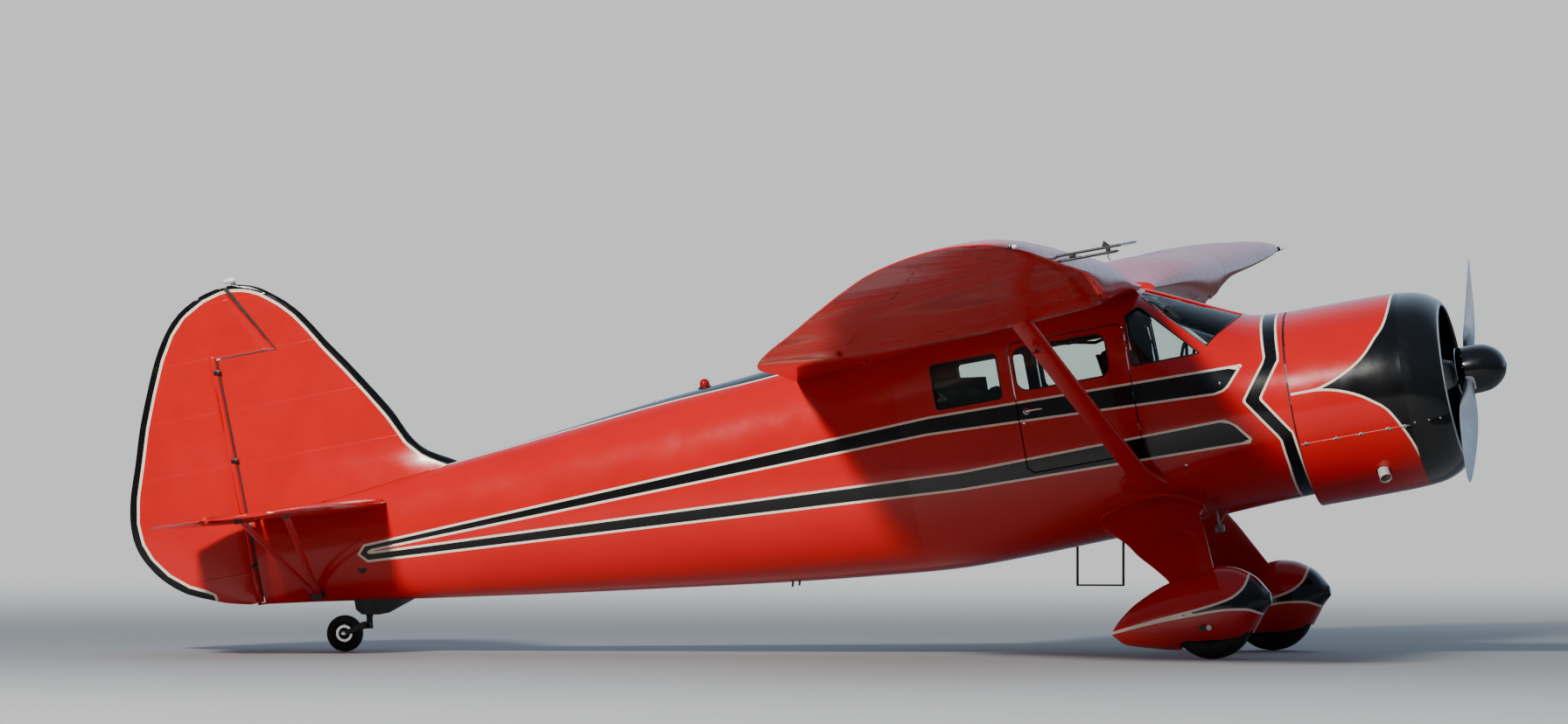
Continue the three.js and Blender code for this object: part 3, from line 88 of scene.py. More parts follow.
FUSELAGE_SECTIONS = [
    (620, 1840, 655, 1240, 626, 2.05, 2.05), (450, 1851, 650, 1250, 627, 2.1, 2.1),
    (360, 1872, 648, 1255, 627, 2.15, 2.1), (150, 1964, 638, 1265, 627, 2.4, 2.2),
    (-50, 2058, 628, 1280, 627, 2.8, 2.3), (-260, 2150, 618, 1300, 627, 3.5, 2.5),
    (-500, 2212, 608, 1300, 627, 4.6, 2.7), (-850, 2240, 600, 1300, 627, 5, 2.8),
    (-1250, 2228, 590, 1300, 622, 5, 2.8), (-1750, 2185, 592, 1300, 606, 4.4, 2.7),
    (-2300, 2122, 640, 1310, 568, 3.4, 2.5), (-2813, 2065, 695, 1330, 515, 2.9, 2.4),
    (-3580, 1998, 792, 1375, 428, 2.6, 2.3), (-4400, 1903, 900, 1400, 325, 2.4, 2.3),
    (-4930, 1850, 975, 1420, 256, 2.3, 2.2), (-5500, 1795, 1056, 1430, 176, 2.2, 2.1),
    (-5900, 1760, 1116, 1435, 112, 2.1, 2), (-6277, 1733, 1167, 1440, 38, 2, 2),
]
WING_SECTIONS = [
    (300, -235, 2158, 2300, 5, 110, 45, 0.2), (620, -225, 2166, 2305, 5, 165, 50, 0.3),
    (1500, -170, 2200, 2300, 5.1, 245, 105, 0.8), (2450, -140, 2222, 2290, 5, 262, 172, 1),
    (2900, -134, 2232, 2220, 4.7, 260, 112, 0.9), (3400, -126, 2250, 2050, 4, 250, 66, 0.4),
    (3800, -122, 2265, 1862, 3.2, 240, 52, 0.1), (4600, -125, 2308, 1537, 2.2, 196, 46, 0),
    (5200, -130, 2345, 1252, 0.7, 146, 38, 0), (5600, -142, 2372, 990, -1.6, 105, 30, 0),
    (6000, -175, 2398, 650, -4.2, 62, 20, 0), (6250, -240, 2418, 330, -7, 27, 14, 0),
    (6385, -335, 2440, 60, -9, 6, 5, 0),
]
FIN_EDGE = [
    (1700, -4700), (1850, -4860), (1958, -5047), (2061, -5141), (2250, -5233), (2418, -5337),
    (2607, -5461), (2759, -5568), (2902, -5659), (3002, -5731), (3082, -5808), (3137, -5876),
    (3187, -5946), (3219, -6017), (3239, -6095),
]
RUDDER_EDGE = [
    (1182, -6380), (1215, -6520), (1259, -6637), (1318, -6773), (1427, -6910), (1559, -7007),
    (1683, -7057), (1829, -7065), (1997, -7035), (2216, -6962), (2434, -6893), (2649, -6807),
    (2862, -6710), (3017, -6611), (3124, -6504), (3205, -6350), (3234, -6240),
]
TAILPLANE_EDGE = [
    (0, -5348, -6620), (250, -5358, -6660), (700, -5396, -6695), (1200, -5451, -6690),
    (1550, -5511, -6640), (1800, -5616, -6530), (1920, -5746, -6400), (1960, -5870, -6290),
]
PANT_SECTIONS = [
    (-658, 2, -16, 6), (-592, 72, -86, 52), (-463, 160, -132, 100), (-241, 248, -186, 150),
    (59, 296, -215, 181), (186, 274, -204, 174), (262, 232, -130, 154), (330, 172, -44, 118),
    (388, 74, 8, 40),
]
BLADE_SECTIONS = [
    (156, 76, 76, 60), (230, 78, 74, 58), (360, 118, 52, 50), (560, 154, 30, 38),
    (820, 144, 20, 29), (1050, 98, 14, 24), (1170, 56, 9, 22), (1220, 20, 5, 21),
]
COWL_PROFILE = [(631, 632), (800, 633), (1100, 633), (1250, 631), (1360, 625)]
NOSE_PROFILE = [
    (1360, 625), (1430, 616), (1495, 598), (1550, 572), (1592, 541), (1612, 515), (1613, 497),
    (1590, 493), (1530, 512), (1360, 606),
]
SPINNER_PROFILE = [(-66, 148), (-10, 155), (60, 155), (130, 145), (190, 112), (230, 64), (250, 0)]
TAIL_STEPS = [(0, 0), (0.02, 0.5), (0.08, 0.8), (0.25, 1), (0.6, 0.86), (0.96, 0.3), (1, 0.16)]


def to_row(p):
    """From airframe millimetres to the frame's metres."""
    p = np.asarray(p, float)
    c, s = math.cos(PITCH), math.sin(PITCH)
    x, y, z = p[..., 0], p[..., 1], p[..., 2]
    return np.stack([ORIGIN[0] + x * c - z * s, y, ORIGIN[1] + x * s + z * c], -1) / 1000


def to_flight(q):
    """From the frame's metres to airframe millimetres."""
    q = np.asarray(q, float) * 1000
    c, s = math.cos(PITCH), math.sin(PITCH)
    x, z = q[..., 0] - ORIGIN[0], q[..., 2] - ORIGIN[1]
    return np.stack([x * c + z * s, q[..., 1], -x * s + z * c], -1)


def upright(p):
    """From millimetres above the ground to the frame's metres."""
    return (np.asarray(p, float) + [ORIGIN[0], 0, 0]) / 1000


def row_at(table, key):
    """Columns of a table at the given keys, on a smooth curve through its rows."""
    rows = np.array(sorted(table), float)
    x = rows[:, 0]
    key = np.clip(np.asarray(key, float), x[0], x[-1])
    i = np.clip(np.searchsorted(x, key, "right") - 1, 0, len(x) - 2)
    low = np.maximum(np.arange(len(x)) - 1, 0)
    high = np.minimum(np.arange(len(x)) + 1, len(x) - 1)
    slope = (rows[high] - rows[low]) / (x[high] - x[low])[:, None]
    span = (x[i + 1] - x[i])[..., None]
    t = (key - x[i])[..., None] / span
    t2, t3 = t * t, t * t * t
    value = ((2 * t3 - 3 * t2 + 1) * rows[i] + (t3 - 2 * t2 + t) * slope[i] * span
             + (3 * t2 - 2 * t3) * rows[i + 1] + (t3 - t2) * slope[i + 1] * span)
    return np.moveaxis(value, -1, 0)


def smooth(points, steps=6, closed=False):
    """Points on a smooth curve through the given points."""
    p = np.array(points, float)
    if closed:
        p = np.concatenate([p[-1:], p, p[:2]])
    else:
        p = np.concatenate([2 * p[:1] - p[1:2], p, 2 * p[-1:] - p[-2:-1]])
    out = []
    for a, b, c, d in zip(p, p[1:], p[2:], p[3:]):
        for t in np.arange(steps) / steps:
            out.append(0.5 * (2 * b + (c - a) * t + (2 * a - 5 * b + 4 * c - d) * t * t
                              + (3 * b - a - 3 * c + d) * t ** 3))
    if not closed:
        out.append(p[-2])
    return np.array(out)


def curve_points(points, steps=6):
    return [tuple(q) for q in smooth(points, steps)]


def around(sides):
    """Angles of the corners of a regular polygon."""
    return np.linspace(0, 2 * math.pi, sides, endpoint=False)


# Shapes as lists of points and faces
class Shape:
    """Points and faces of one piece, with a finish number for each face."""

    def __init__(self):
        self.points, self.faces, self.finish = [], [], []

    def add(self, part, finish=0, move=None):
        points, faces = part
        points = np.asarray(points, float)
        if move is not None:
            points = points @ np.array(move.to_3x3()).T + np.array(move.to_translation())
        start = len(self.points)
        self.points.extend(points.tolist())
        self.faces.extend([tuple(start + i for i in face) for face in faces])
        self.finish.extend([finish] * len(faces))
        return self


def loft(loops, ends=True):
    """Skin over rings of equal point counts."""
    count = len(loops[0])
    faces = []
    for r in range(len(loops) - 1):
        for i in range(count):
            j = (i + 1) % count
            faces.append((r * count + i, r * count + j, (r + 1) * count + j, (r + 1) * count + i))
    if ends:
        last = (len(loops) - 1) * count
        faces += [tuple(range(count))[::-1], tuple(range(last, last + count))]
    return np.concatenate([np.asarray(loop, float) for loop in loops]), faces


def axes(direction):
    d = Vector(direction).normalized()
    side = d.cross(Vector((0, 0, 1) if abs(d.z) < 0.9 else (0, 1, 0))).normalized()
    return np.array(side), np.array(d.cross(side)), np.array(d)


def lathe(profile, start=(0, 0, 0), direction=(1, 0, 0), sides=48, ring=False):
    """Turned form. The profile's columns are the distance along the axis and the radius."""
    u, v, d = axes(direction)
    turn = around(sides)
    circle = np.cos(turn)[:, None] * u + np.sin(turn)[:, None] * v
    profile = list(profile) + ([profile[0]] if ring else [])
    loops = [np.array(start, float) + a * d + max(r, 0.02) * circle for a, r in profile]
    return loft(loops, ends=not ring)


def tube(path, radius, sides=12, closed=False):
    """Round bar along a path. The radius is one number or one for each point."""
    path = np.asarray(path, float)
    radii = np.broadcast_to(radius, len(path))
    if closed:
        way = np.roll(path, -1, 0) - np.roll(path, 1, 0)
    else:
        way = np.gradient(path, axis=0)
    u = axes(way[0])[0]
    turn = around(sides)
    loops = []
    for p, w, r in zip(path, way, radii):
        w = w / np.linalg.norm(w)
        u = u - w * (u @ w)
        u = u / np.linalg.norm(u)
        v = np.cross(w, u)
        loops.append(p + r * (np.cos(turn)[:, None] * u + np.sin(turn)[:, None] * v))
    if closed:
        loops.append(loops[0])
    return loft(loops, ends=not closed)


def block(low, high, bevel=4.0, steps=2):
    """Box with rounded edges."""
    bm = bmesh.new()
    bmesh.ops.create_cube(bm, size=1)
    low, high = np.array(low, float), np.array(high, float)
    for vert in bm.verts:
        vert.co = Vector((low + high) / 2 + np.array(vert.co) * (high - low))
    bmesh.ops.bevel(bm, geom=bm.edges[:], offset=bevel, segments=steps, profile=0.5, affect="EDGES")
    bm.verts.index_update()
    part = [tuple(v.co) for v in bm.verts], [tuple(v.index for v in f.verts) for f in bm.faces]
    bm.free()
    return part


def ball(centre, size, rings=12, sides=20):
    """Ellipsoid with the given half sizes."""
    turn = around(sides)
    loops = []
    for up in np.linspace(-math.pi / 2 + 0.04, math.pi / 2 - 0.04, rings):
        loops.append(np.stack([np.cos(turn) * math.cos(up), np.sin(turn) * math.cos(up),
                               np.full(sides, math.sin(up))], -1) * size + centre)
    return loft(loops)


def make(name, mesh, body, finishes, replaces=()):
    obj = in_scene(name, mesh)
    for finish in finishes:
        mesh.materials.append(finish)
    if replaces:
        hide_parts(*replaces)
    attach(obj, body)
    return obj


def piece(name, shape, body, *finishes, replaces=(), angle=35, space=to_row):
    """Mesh object of a shape, smoothed where its faces meet at less than the angle."""
    mesh = bpy.data.meshes.new(name)
    mesh.from_pydata(space(np.array(shape.points)).tolist(), [], shape.faces)
    mesh.polygons.foreach_set("material_index", shape.finish)
    bm = bmesh.new()
    bm.from_mesh(mesh)
    bmesh.ops.recalc_face_normals(bm, faces=bm.faces[:])
    bm.to_mesh(mesh)
    bm.free()
    mesh.polygons.foreach_set("use_smooth", [True] * len(mesh.polygons))
    mesh.set_sharp_from_angle(angle=math.radians(angle))
    return make(name, mesh, body, finishes, replaces)


# Smooth surfaces that the CAD's facets follow. Each takes points and returns the nearest points
# on the surface, how far away they were, and the surface's normals there.
def fuselage_level(p, inset):
    _, top, bottom, middle, half, n_up, n_down = row_at(FUSELAGE_SECTIONS, p[:, 0])
    dz = p[:, 2] - middle
    n = np.where(dz >= 0, n_up, n_down)
    height = np.where(dz >= 0, top - middle, middle - bottom) - inset
    flat = np.abs(p[:, 1] / (half - inset)) ** n + np.abs(dz / height) ** n
    return np.maximum(flat, 1e-9) ** (1 / n) - 1


def fuselage_slope(p, inset, axis):
    step = np.zeros(3)
    step[axis] = 1.0
    return (fuselage_level(p + step, inset) - fuselage_level(p - step, inset)) / 2


def fuselage(inset):
    def near(p):
        q = p.copy()
        for _ in range(4):
            level = fuselage_level(q, inset)
            y, z = fuselage_slope(q, inset, 1), fuselage_slope(q, inset, 2)
            scale = np.clip(level / np.maximum(y * y + z * z, 1e-12), -4e4, 4e4)
            q[:, 1] -= np.clip(scale * y, -30, 30)
            q[:, 2] -= np.clip(scale * z, -30, 30)
        normal = np.stack([fuselage_slope(q, inset, axis) for axis in range(3)], -1)
        normal /= np.maximum(np.linalg.norm(normal, axis=1, keepdims=True), 1e-12)
        return q, np.linalg.norm(q - p, axis=1), normal
    return near


def turned(profile, inset, centre_z):
    """Surface turned about a line along x."""
    def near(p):
        radius = row_at(profile, p[:, 0])[1] - inset
        slope = (row_at(profile, p[:, 0] + 2)[1] - row_at(profile, p[:, 0] - 2)[1]) / 4
        out = np.stack([p[:, 1], p[:, 2] - centre_z], -1)
        length = np.maximum(np.linalg.norm(out, axis=1), 1e-6)
        out = out / length[:, None]
        q = p.copy()
        q[:, 1] = out[:, 0] * radius
        q[:, 2] = out[:, 1] * radius + centre_z
        normal = np.stack([-slope, out[:, 0], out[:, 1]], -1)
        return q, np.abs(length - radius), normal / np.linalg.norm(normal, axis=1, keepdims=True)
    return near


def sections(curve, key, plane, side=1):
    """Surface through section lines. The curve gives the line at each key, in two of the axes."""
    def near_few(p):
        line = curve(p[:, key])
        uv = p[:, plane]
        start, step = line[:, :-1], np.diff(line, axis=1)
        share = ((uv[:, None] - start) * step).sum(-1) / np.maximum((step * step).sum(-1), 1e-9)
        share = np.clip(share, 0, 1)
        gap = np.linalg.norm(uv[:, None] - start - share[..., None] * step, axis=-1)
        n, j = np.arange(len(p)), gap.argmin(1)
        t = share[n, j][:, None]

        def at(lines):
            return lines[n, j] * (1 - t) + lines[n, j + 1] * t
        foot = at(line)
        tangent = at(np.gradient(line, axis=1))
        along = (at(curve(p[:, key] + 3)) - at(curve(p[:, key] - 3))) / 6
        q = p.copy()
        q[:, plane] = foot
        across = np.zeros_like(p)
        across[:, plane] = tangent
        lengthwise = np.zeros_like(p)
        lengthwise[:, key] = 1
        lengthwise[:, plane] = along
        normal = np.cross(across, lengthwise)
        normal /= np.maximum(np.linalg.norm(normal, axis=1, keepdims=True), 1e-9)
        return q, gap[n, j], normal

    def near(p):
        flip = np.array([1, side, 1])
        parts = [near_few(p[i:i + 6000] * flip) for i in range(0, len(p), 6000)]
        q, gap, normal = (np.concatenate(column) for column in zip(*parts))
        return q * flip, gap, normal * flip
    return near


STEPS = (1 - np.cos(np.linspace(0, math.pi, 45))) / 2


def wing_point(y, fraction, level):
    _, edge_x, edge_z, chord, twist, up, down, blunt = row_at(WING_SECTIONS, y)
    f = fraction
    thick = 10 * (0.2969 * np.sqrt(f) - 0.126 * f - 0.3516 * f ** 2 + 0.2843 * f ** 3 - 0.1015 * f ** 4)
    wedge = np.where(f < 0.05, np.sqrt(np.clip(1 - (1 - f / 0.05) ** 2, 0, 1)),
                     1 - np.clip((f - 0.05) / 0.95, 0, 1) ** 1.8)
    height = up * thick if level > 0 else -down * (thick * (1 - blunt) + wedge * blunt)
    height = height + level * 3 * f
    pitch = np.radians(twist)
    return np.stack([edge_x - f * chord * np.cos(pitch) - height * np.sin(pitch),
                     edge_z - f * chord * np.sin(pitch) + height * np.cos(pitch)], -1)


def wing_line(y):
    y = np.asarray(y, float)[:, None]
    over = wing_point(y, STEPS[::-1][None], 1)
    under = wing_point(y, STEPS[1:][None], -1)
    return np.concatenate([over, under], 1)


def slim_line(front, back, half, round_nose):
    """Thin tail section. Front, back and half thickness are one number for each line."""
    steps = [(f, 1 if round_nose and 0.02 < f < 0.3 else t) for f, t in TAIL_STEPS]
    f = STEPS[None]
    thick = np.interp(f, *zip(*steps)) if round_nose else np.maximum(row_at(steps, f)[1], 0)
    x = front[:, None] - f * (front - back)[:, None]
    over = np.stack([x, thick * half[:, None]], -1)
    return np.concatenate([over[:, ::-1], over[:, 1:] * [1, -1]], 1)


HORN_FOOT, HORN_HEAD = (-5923, 2783), (-6199, 3236)


def hinge_x(z):
    return HINGE_X - HINGE_RAKE * (z - RUDDER_BOTTOM)


def horn_x(z):
    return np.interp(z, [HORN_FOOT[1], HORN_HEAD[1]], [HORN_FOOT[0], HORN_HEAD[0]])


def fin_line(z):
    base = np.clip((2100 - z) / 400, 0, 1)
    half = 36 - 16 * (z - 1700) / 1550 + 34 * base * base * (3 - 2 * base)
    return slim_line(row_at(FIN_EDGE, z)[1], hinge_x(z) + 35, half, False)


def rudder_line(z):
    half = 25 - 9 * np.clip((z - 2300) / 900, 0, 1)
    front = np.where(z > HORN_FOOT[1] + 1.5, horn_x(z), hinge_x(z))
    return slim_line(front, row_at(RUDDER_EDGE, z)[1], half, True)


def tailplane_line(part):
    def line(y):
        _, front, back = row_at(TAILPLANE_EDGE, y)
        taper = np.sqrt(np.maximum(0.02, 1 - (np.abs(y) / 1975) ** 4))
        if part == "fixed":
            out = slim_line(front, np.full_like(front, ELEVATOR_X + 36.0), 36 * taper, False)
        else:
            out = slim_line(np.full_like(back, ELEVATOR_X), back, 26 * taper, True)
        out[..., 1] += ELEVATOR_Z + (out[..., 0] - ELEVATOR_X) * TAILPLANE_TILT
        return out
    return line


def pant_line(x):
    _, top, bottom, half = (column[:, None] for column in row_at(PANT_SECTIONS, x))
    turn = np.linspace(0, 2 * math.pi, 65)[None]
    c, s = np.cos(turn), np.sin(turn)
    power = 2 / 2.3
    return np.stack([AXLE[1] + half * np.sign(c) * np.abs(c) ** power,
                     (top + bottom) / 2 + (top - bottom) / 2 * np.sign(s) * np.abs(s) ** power], -1)


# Paint. A number on each vertex gives the distance to the nearest edge of a black area, in
# half widths of its pinstripe: below -1 is black, above 1 is red and the pinstripe is between.
def outline_distance(p, outline, closed=True):
    """Distance to an outline in two axes, below zero inside it."""
    a = np.array(outline, float)
    b = np.roll(a, -1, 0)
    if not closed:
        a, b = a[:-1], b[:-1]
    step = b - a
    best = np.full(len(p), 1e9)
    inside = np.zeros(len(p), bool)
    for (ax, ay), (dx, dy), by in zip(a, step, b[:, 1]):
        t = np.clip(((p[:, 0] - ax) * dx + (p[:, 1] - ay) * dy) / max(dx * dx + dy * dy, 1e-9), 0, 1)
        best = np.minimum(best, np.hypot(p[:, 0] - ax - t * dx, p[:, 1] - ay - t * dy))
        with np.errstate(divide="ignore", invalid="ignore"):
            crosses = (ay > p[:, 1]) != (by > p[:, 1])
            inside ^= crosses & (p[:, 0] < ax + (p[:, 1] - ay) * dx / (dy if dy else 1e-9))
    return np.where(inside, -best, best) if closed else best


STRIPES = [(-5591, 1374), (-5544, 1423), (-5471, 1426), (-1705, 1572), (320, 1544), (348, 1548),
           (239, 1420), (182, 1391), (-1724, 1467), (-5500, 1386), (-5526, 1375), (-5500, 1368),
           (-1544, 1190), (179, 1215), (241, 1181), (344, 1049), (-1564, 1080), (-5540, 1319)]
NOSE_BAND = [(470, 2100), (478, 1853), (498, 1555), (328, 1313), (519, 1034), (530, 850), (520, 560),
             (617, 560), (619, 850), (604, 1060), (436, 1311), (587, 1540), (572, 1853), (566, 2100)]
COWL_BLACK = (
    [(1330, 1900)]
    + curve_points([(1322, 1839), (1312, 1740), (1275, 1635), (1219, 1566), (1121, 1454),
                    (977, 1366), (815, 1308), (640, 1303)], 4)
    + curve_points([(640, 1302), (815, 1300), (951, 1269), (1068, 1219), (1159, 1158),
                    (1228, 1100), (1294, 985), (1343, 862), (1375, 723), (1388, 593),
                    (1392, 480)], 4)
    + [(1900, 480), (1900, 1900)]
)
SPINE_HEIGHT = [(-5200, 5), (-4700, 8), (-4190, 15), (-3820, 26), (-3290, 37), (-2800, 54), (-2400, 66),
                (-1900, 76)]
HALF_PIN = 7.5


def fuselage_paint(p):
    side = p[:, [0, 2]]
    d = np.minimum(outline_distance(side, STRIPES), outline_distance(side, NOSE_BAND)) / HALF_PIN
    top = row_at(FUSELAGE_SECTIONS, p[:, 0])[1]
    below = (top - p[:, 2] - row_at(SPINE_HEIGHT, p[:, 0])[1]) / 4
    below = np.maximum(below, np.maximum(p[:, 0] + 2450, -5050 - p[:, 0]) / 4)
    return np.minimum(d, below)


def cowl_paint(p):
    return outline_distance(p[:, [0, 2]], COWL_BLACK) / HALF_PIN


# Materials. Each is built from nodes, with its own small unevenness.
def add(tree, kind, inputs=(), **settings):
    """New node. Inputs are values, or sockets to link from."""
    n = tree.nodes.new("ShaderNode" + kind)
    for name, value in settings.items():
        setattr(n, name, value)
    for socket, value in dict(inputs).items():
        if isinstance(value, bpy.types.NodeSocket):
            tree.links.new(value, n.inputs[socket])
        else:
            n.inputs[socket].default_value = value
    return n


def calc(tree, operation, a, b=0.0, c=0.0):
    return add(tree, "Math", {0: a, 1: b, 2: c}, operation=operation).outputs[0]


def noise(tree, scale, detail=3.0, stretch=None, rough=0.5):
    place = add(tree, "TexCoord").outputs["Object"]
    if stretch:
        place = add(tree, "Mapping", {"Vector": place, "Scale": stretch}).outputs[0]
    return add(tree, "TexNoise", {"Vector": place, "Scale": scale, "Detail": detail,
                                  "Roughness": rough}).outputs["Fac"]


def spread(tree, value, low, high):
    return add(tree, "MapRange", {"Value": value, "From Min": 0.3, "From Max": 0.7,
                                  "To Min": low, "To Max": high}).outputs[0]


def mixed(tree, factor, a, b):
    n = add(tree, "Mix", data_type="RGBA")
    for socket, value in ((n.inputs[0], factor), (n.inputs[6], a), (n.inputs[7], b)):
        if isinstance(value, bpy.types.NodeSocket):
            tree.links.new(value, socket)
        else:
            socket.default_value = value
    return n.outputs[2]


def ramp(tree, value, low, high, start=0.0, end=1.0):
    """Soft step from start to end while the value goes from low to high."""
    return add(tree, "MapRange", {"Value": value, "From Min": low, "From Max": high, "To Min": start,
                                  "To Max": end}, interpolation_type="SMOOTHSTEP").outputs[0]


def linear(color):
    """Linear colour from 0 to 255 screen values."""
    values = [(c / 255 / 12.92) if c <= 10 else ((c / 255 + 0.055) / 1.055) ** 2.4 for c in color]
    return (*values, 1.0)


def base(name, color, roughness, metallic=0.0, mottle=0.1, scale=5.0, grain=0.0, grain_scale=200.0,
         vary=0.06, dirt=None, stretch=None, **shader_values):
    """Principled material whose colour, roughness and surface vary over noise."""
    material = bpy.data.materials.new(name)
    material.use_nodes = True
    tree = material.node_tree
    shader = tree.nodes["Principled BSDF"]
    shader.inputs["Metallic"].default_value = metallic
    for socket, value in shader_values.items():
        shader.inputs[socket.replace("_", " ")].default_value = value
    cloud = noise(tree, scale, 4.0)
    if isinstance(color, tuple):
        dark = tuple(c * (1 - mottle) for c in color[:3]) + (1.0,)
        light = tuple(min(c * (1 + mottle), 1) for c in color[:3]) + (1.0,)
        color = mixed(tree, spread(tree, cloud, 0, 1), dark, light)
    if dirt:
        patches = spread(tree, noise(tree, scale * 2.3, 6.0, rough=0.7), -0.6, 0.9)
        color = mixed(tree, calc(tree, "MAXIMUM", patches, 0.0), color, dirt)
    tree.links.new(color, shader.inputs["Base Color"])
    tree.links.new(spread(tree, noise(tree, scale * 3), max(roughness - vary, 0.02), roughness + vary),
                   shader.inputs["Roughness"])
    if grain:
        bump = add(tree, "Bump", {"Height": noise(tree, grain_scale, 2.0, stretch), "Strength": 1.0,
                                  "Distance": grain})
        tree.links.new(bump.outputs[0], shader.inputs["Normal"])
    return material, tree, shader


RED = (0.60, 0.0042, 0.0052, 1.0)
CREAM = (0.96, 0.80, 0.64, 1.0)
BLACK = (0.0028, 0.0027, 0.0029, 1.0)


def painted(name, striped=True, ridges=0.0, weave=0.0, weave_scale=260.0, crest=0.03,
            gloss=0.3, sag=0.6):
    """Gloss paint in the three colours, over fabric or metal."""
    material, tree, shader = base(name, RED, 0.2, mottle=0.05, scale=2.2, vary=0.04,
                                  Specular_IOR_Level=0.28, Coat_Weight=gloss, Coat_Roughness=0.06)
    if striped:
        red = shader.inputs["Base Color"].links[0].from_socket
        paint = add(tree, "Attribute", attribute_name="paint").outputs["Fac"]
        pin = calc(tree, "LESS_THAN", calc(tree, "ABSOLUTE", paint), 1.0)
        dark = calc(tree, "LESS_THAN", paint, -1.0)
        tree.links.new(mixed(tree, dark, mixed(tree, pin, red, CREAM), BLACK), shader.inputs["Base Color"])
    height = None
    if weave:
        height = calc(tree, "MULTIPLY", noise(tree, weave_scale, 2.0), weave)
        height = calc(tree, "ADD", height, calc(tree, "MULTIPLY", noise(tree, 7.0, 2.0), sag))
    if ridges:
        line = add(tree, "Attribute", attribute_name="ridge").outputs["Fac"]
        wave = calc(tree, "ABSOLUTE", calc(tree, "SUBTRACT", calc(tree, "FRACT", line), 0.5))
        bulge = ramp(tree, wave, 0.0, crest, ridges, 0.0)
        height = calc(tree, "ADD", height, bulge) if height else bulge
    if height:
        bump = add(tree, "Bump", {"Height": height, "Strength": 1.0, "Distance": 0.001})
        tree.links.new(bump.outputs[0], shader.inputs["Normal"])
    return material


METAL_PAINT = painted("paint_metal", weave=0.03, weave_scale=60.0, gloss=0.5, sag=0.35)
FABRIC_PAINT = painted("paint_fabric", weave=0.05)
FABRIC_RIBS = painted("paint_fabric_ribs", ridges=0.8, weave=0.04)
WING_RIBS = painted("paint_wing", ridges=1.0, weave=0.02, crest=0.24, sag=0.1)
PLAIN_RED = painted("paint_red", striped=False, weave=0.05, weave_scale=80.0)
GLOSS_BLACK = base("paint_black", BLACK, 0.2, mottle=0.3, grain=0.0001, grain_scale=40,
                   Specular_IOR_Level=0.28, Coat_Weight=0.9, Coat_Roughness=0.06)[0]
SATIN_BLACK = base("satin_black", linear((20, 20, 22)), 0.42, mottle=0.3, grain=0.0002, grain_scale=350)[0]
INSIDE = base("cabin_lining", linear((92, 88, 84)), 0.85, mottle=0.12, grain=0.0006, grain_scale=420,
              Sheen_Weight=0.2)[0]
PRIMER = base("inner_primer", linear((96, 104, 92)), 0.6, mottle=0.15, dirt=linear((50, 50, 46)))[0]
RUBBER = base("rubber", linear((26, 26, 27)), 0.78, mottle=0.25, grain=0.0004, grain_scale=260,
              dirt=linear((58, 54, 48)))[0]
STEEL = base("dark_steel", linear((58, 59, 62)), 0.45, 0.7, mottle=0.2, grain=0.0002, grain_scale=300)[0]
POLISHED = base("polished_metal", linear((214, 216, 220)), 0.14, 1.0, mottle=0.05, grain=0.00008,
                grain_scale=300)[0]
ALLOY = base("cast_alloy", linear((150, 152, 154)), 0.42, 0.85, mottle=0.15, grain=0.0006, grain_scale=240,
             dirt=linear((70, 62, 52)))[0]
FINS = base("cylinder_fins", linear((46, 45, 44)), 0.55, 0.5, mottle=0.25, dirt=linear((74, 62, 50)))[0]
BLADE = base("blade_metal", linear((176, 182, 190)), 0.36, 0.6, mottle=0.08, grain=0.0001,
             grain_scale=120, stretch=(1, 1, 0.05))[0]


def window_glass():
    """Clear sheet: a faint tint, light smears and a glancing reflection."""
    material = bpy.data.materials.new("window_glass")
    material.use_nodes = True
    tree = material.node_tree
    tree.nodes.remove(tree.nodes["Principled BSDF"])
    tint = mixed(tree, noise(tree, 4.0), (0.86, 0.92, 0.90, 1), (0.90, 0.95, 0.93, 1))
    clear = add(tree, "BsdfTransparent", {"Color": tint}).outputs[0]
    sheen = add(tree, "BsdfGlossy", {"Roughness": spread(tree, noise(tree, 9.0), 0.02, 0.06)}).outputs[0]
    glance = add(tree, "Fresnel", {"IOR": 1.45}).outputs[0]
    tree.links.new(add(tree, "MixShader", {0: glance, 1: clear, 2: sheen}).outputs[0],
                   tree.nodes["Material Output"].inputs["Surface"])
    return material


GLASS = window_glass()
RED_LENS = base("red_lens", linear((190, 16, 14)), 0.1, mottle=0.1, Transmission_Weight=0.4)[0]
WHITE = base("white_enamel", linear((232, 230, 224)), 0.3, mottle=0.05, grain=0.0001)[0]
CHROME = base("chrome", linear((232, 233, 236)), 0.07, 1.0, mottle=0.03)[0]


# Skins: the CAD's own faces, cut finer and laid on the smooth surfaces
def grid(axis, start, stop, step):
    normal = np.eye(3)[axis]
    return [(normal * place, normal) for place in np.arange(start, stop, step)]


def edge_on(a, b):
    """Cut through a line in side view, right across the airframe."""
    d = np.subtract(b, a)
    return (a[0], 0, a[1]), (-d[1], 0, d[0])


def lay(points, surfaces, tolerance):
    """Points moved onto the nearest surface that is close enough."""
    out, best = points.copy(), np.full(len(points), float(tolerance))
    for surface in surfaces:
        q, gap, _ = surface(points)
        near = gap < best
        out[near], best[near] = q[near], gap[near]
    return out


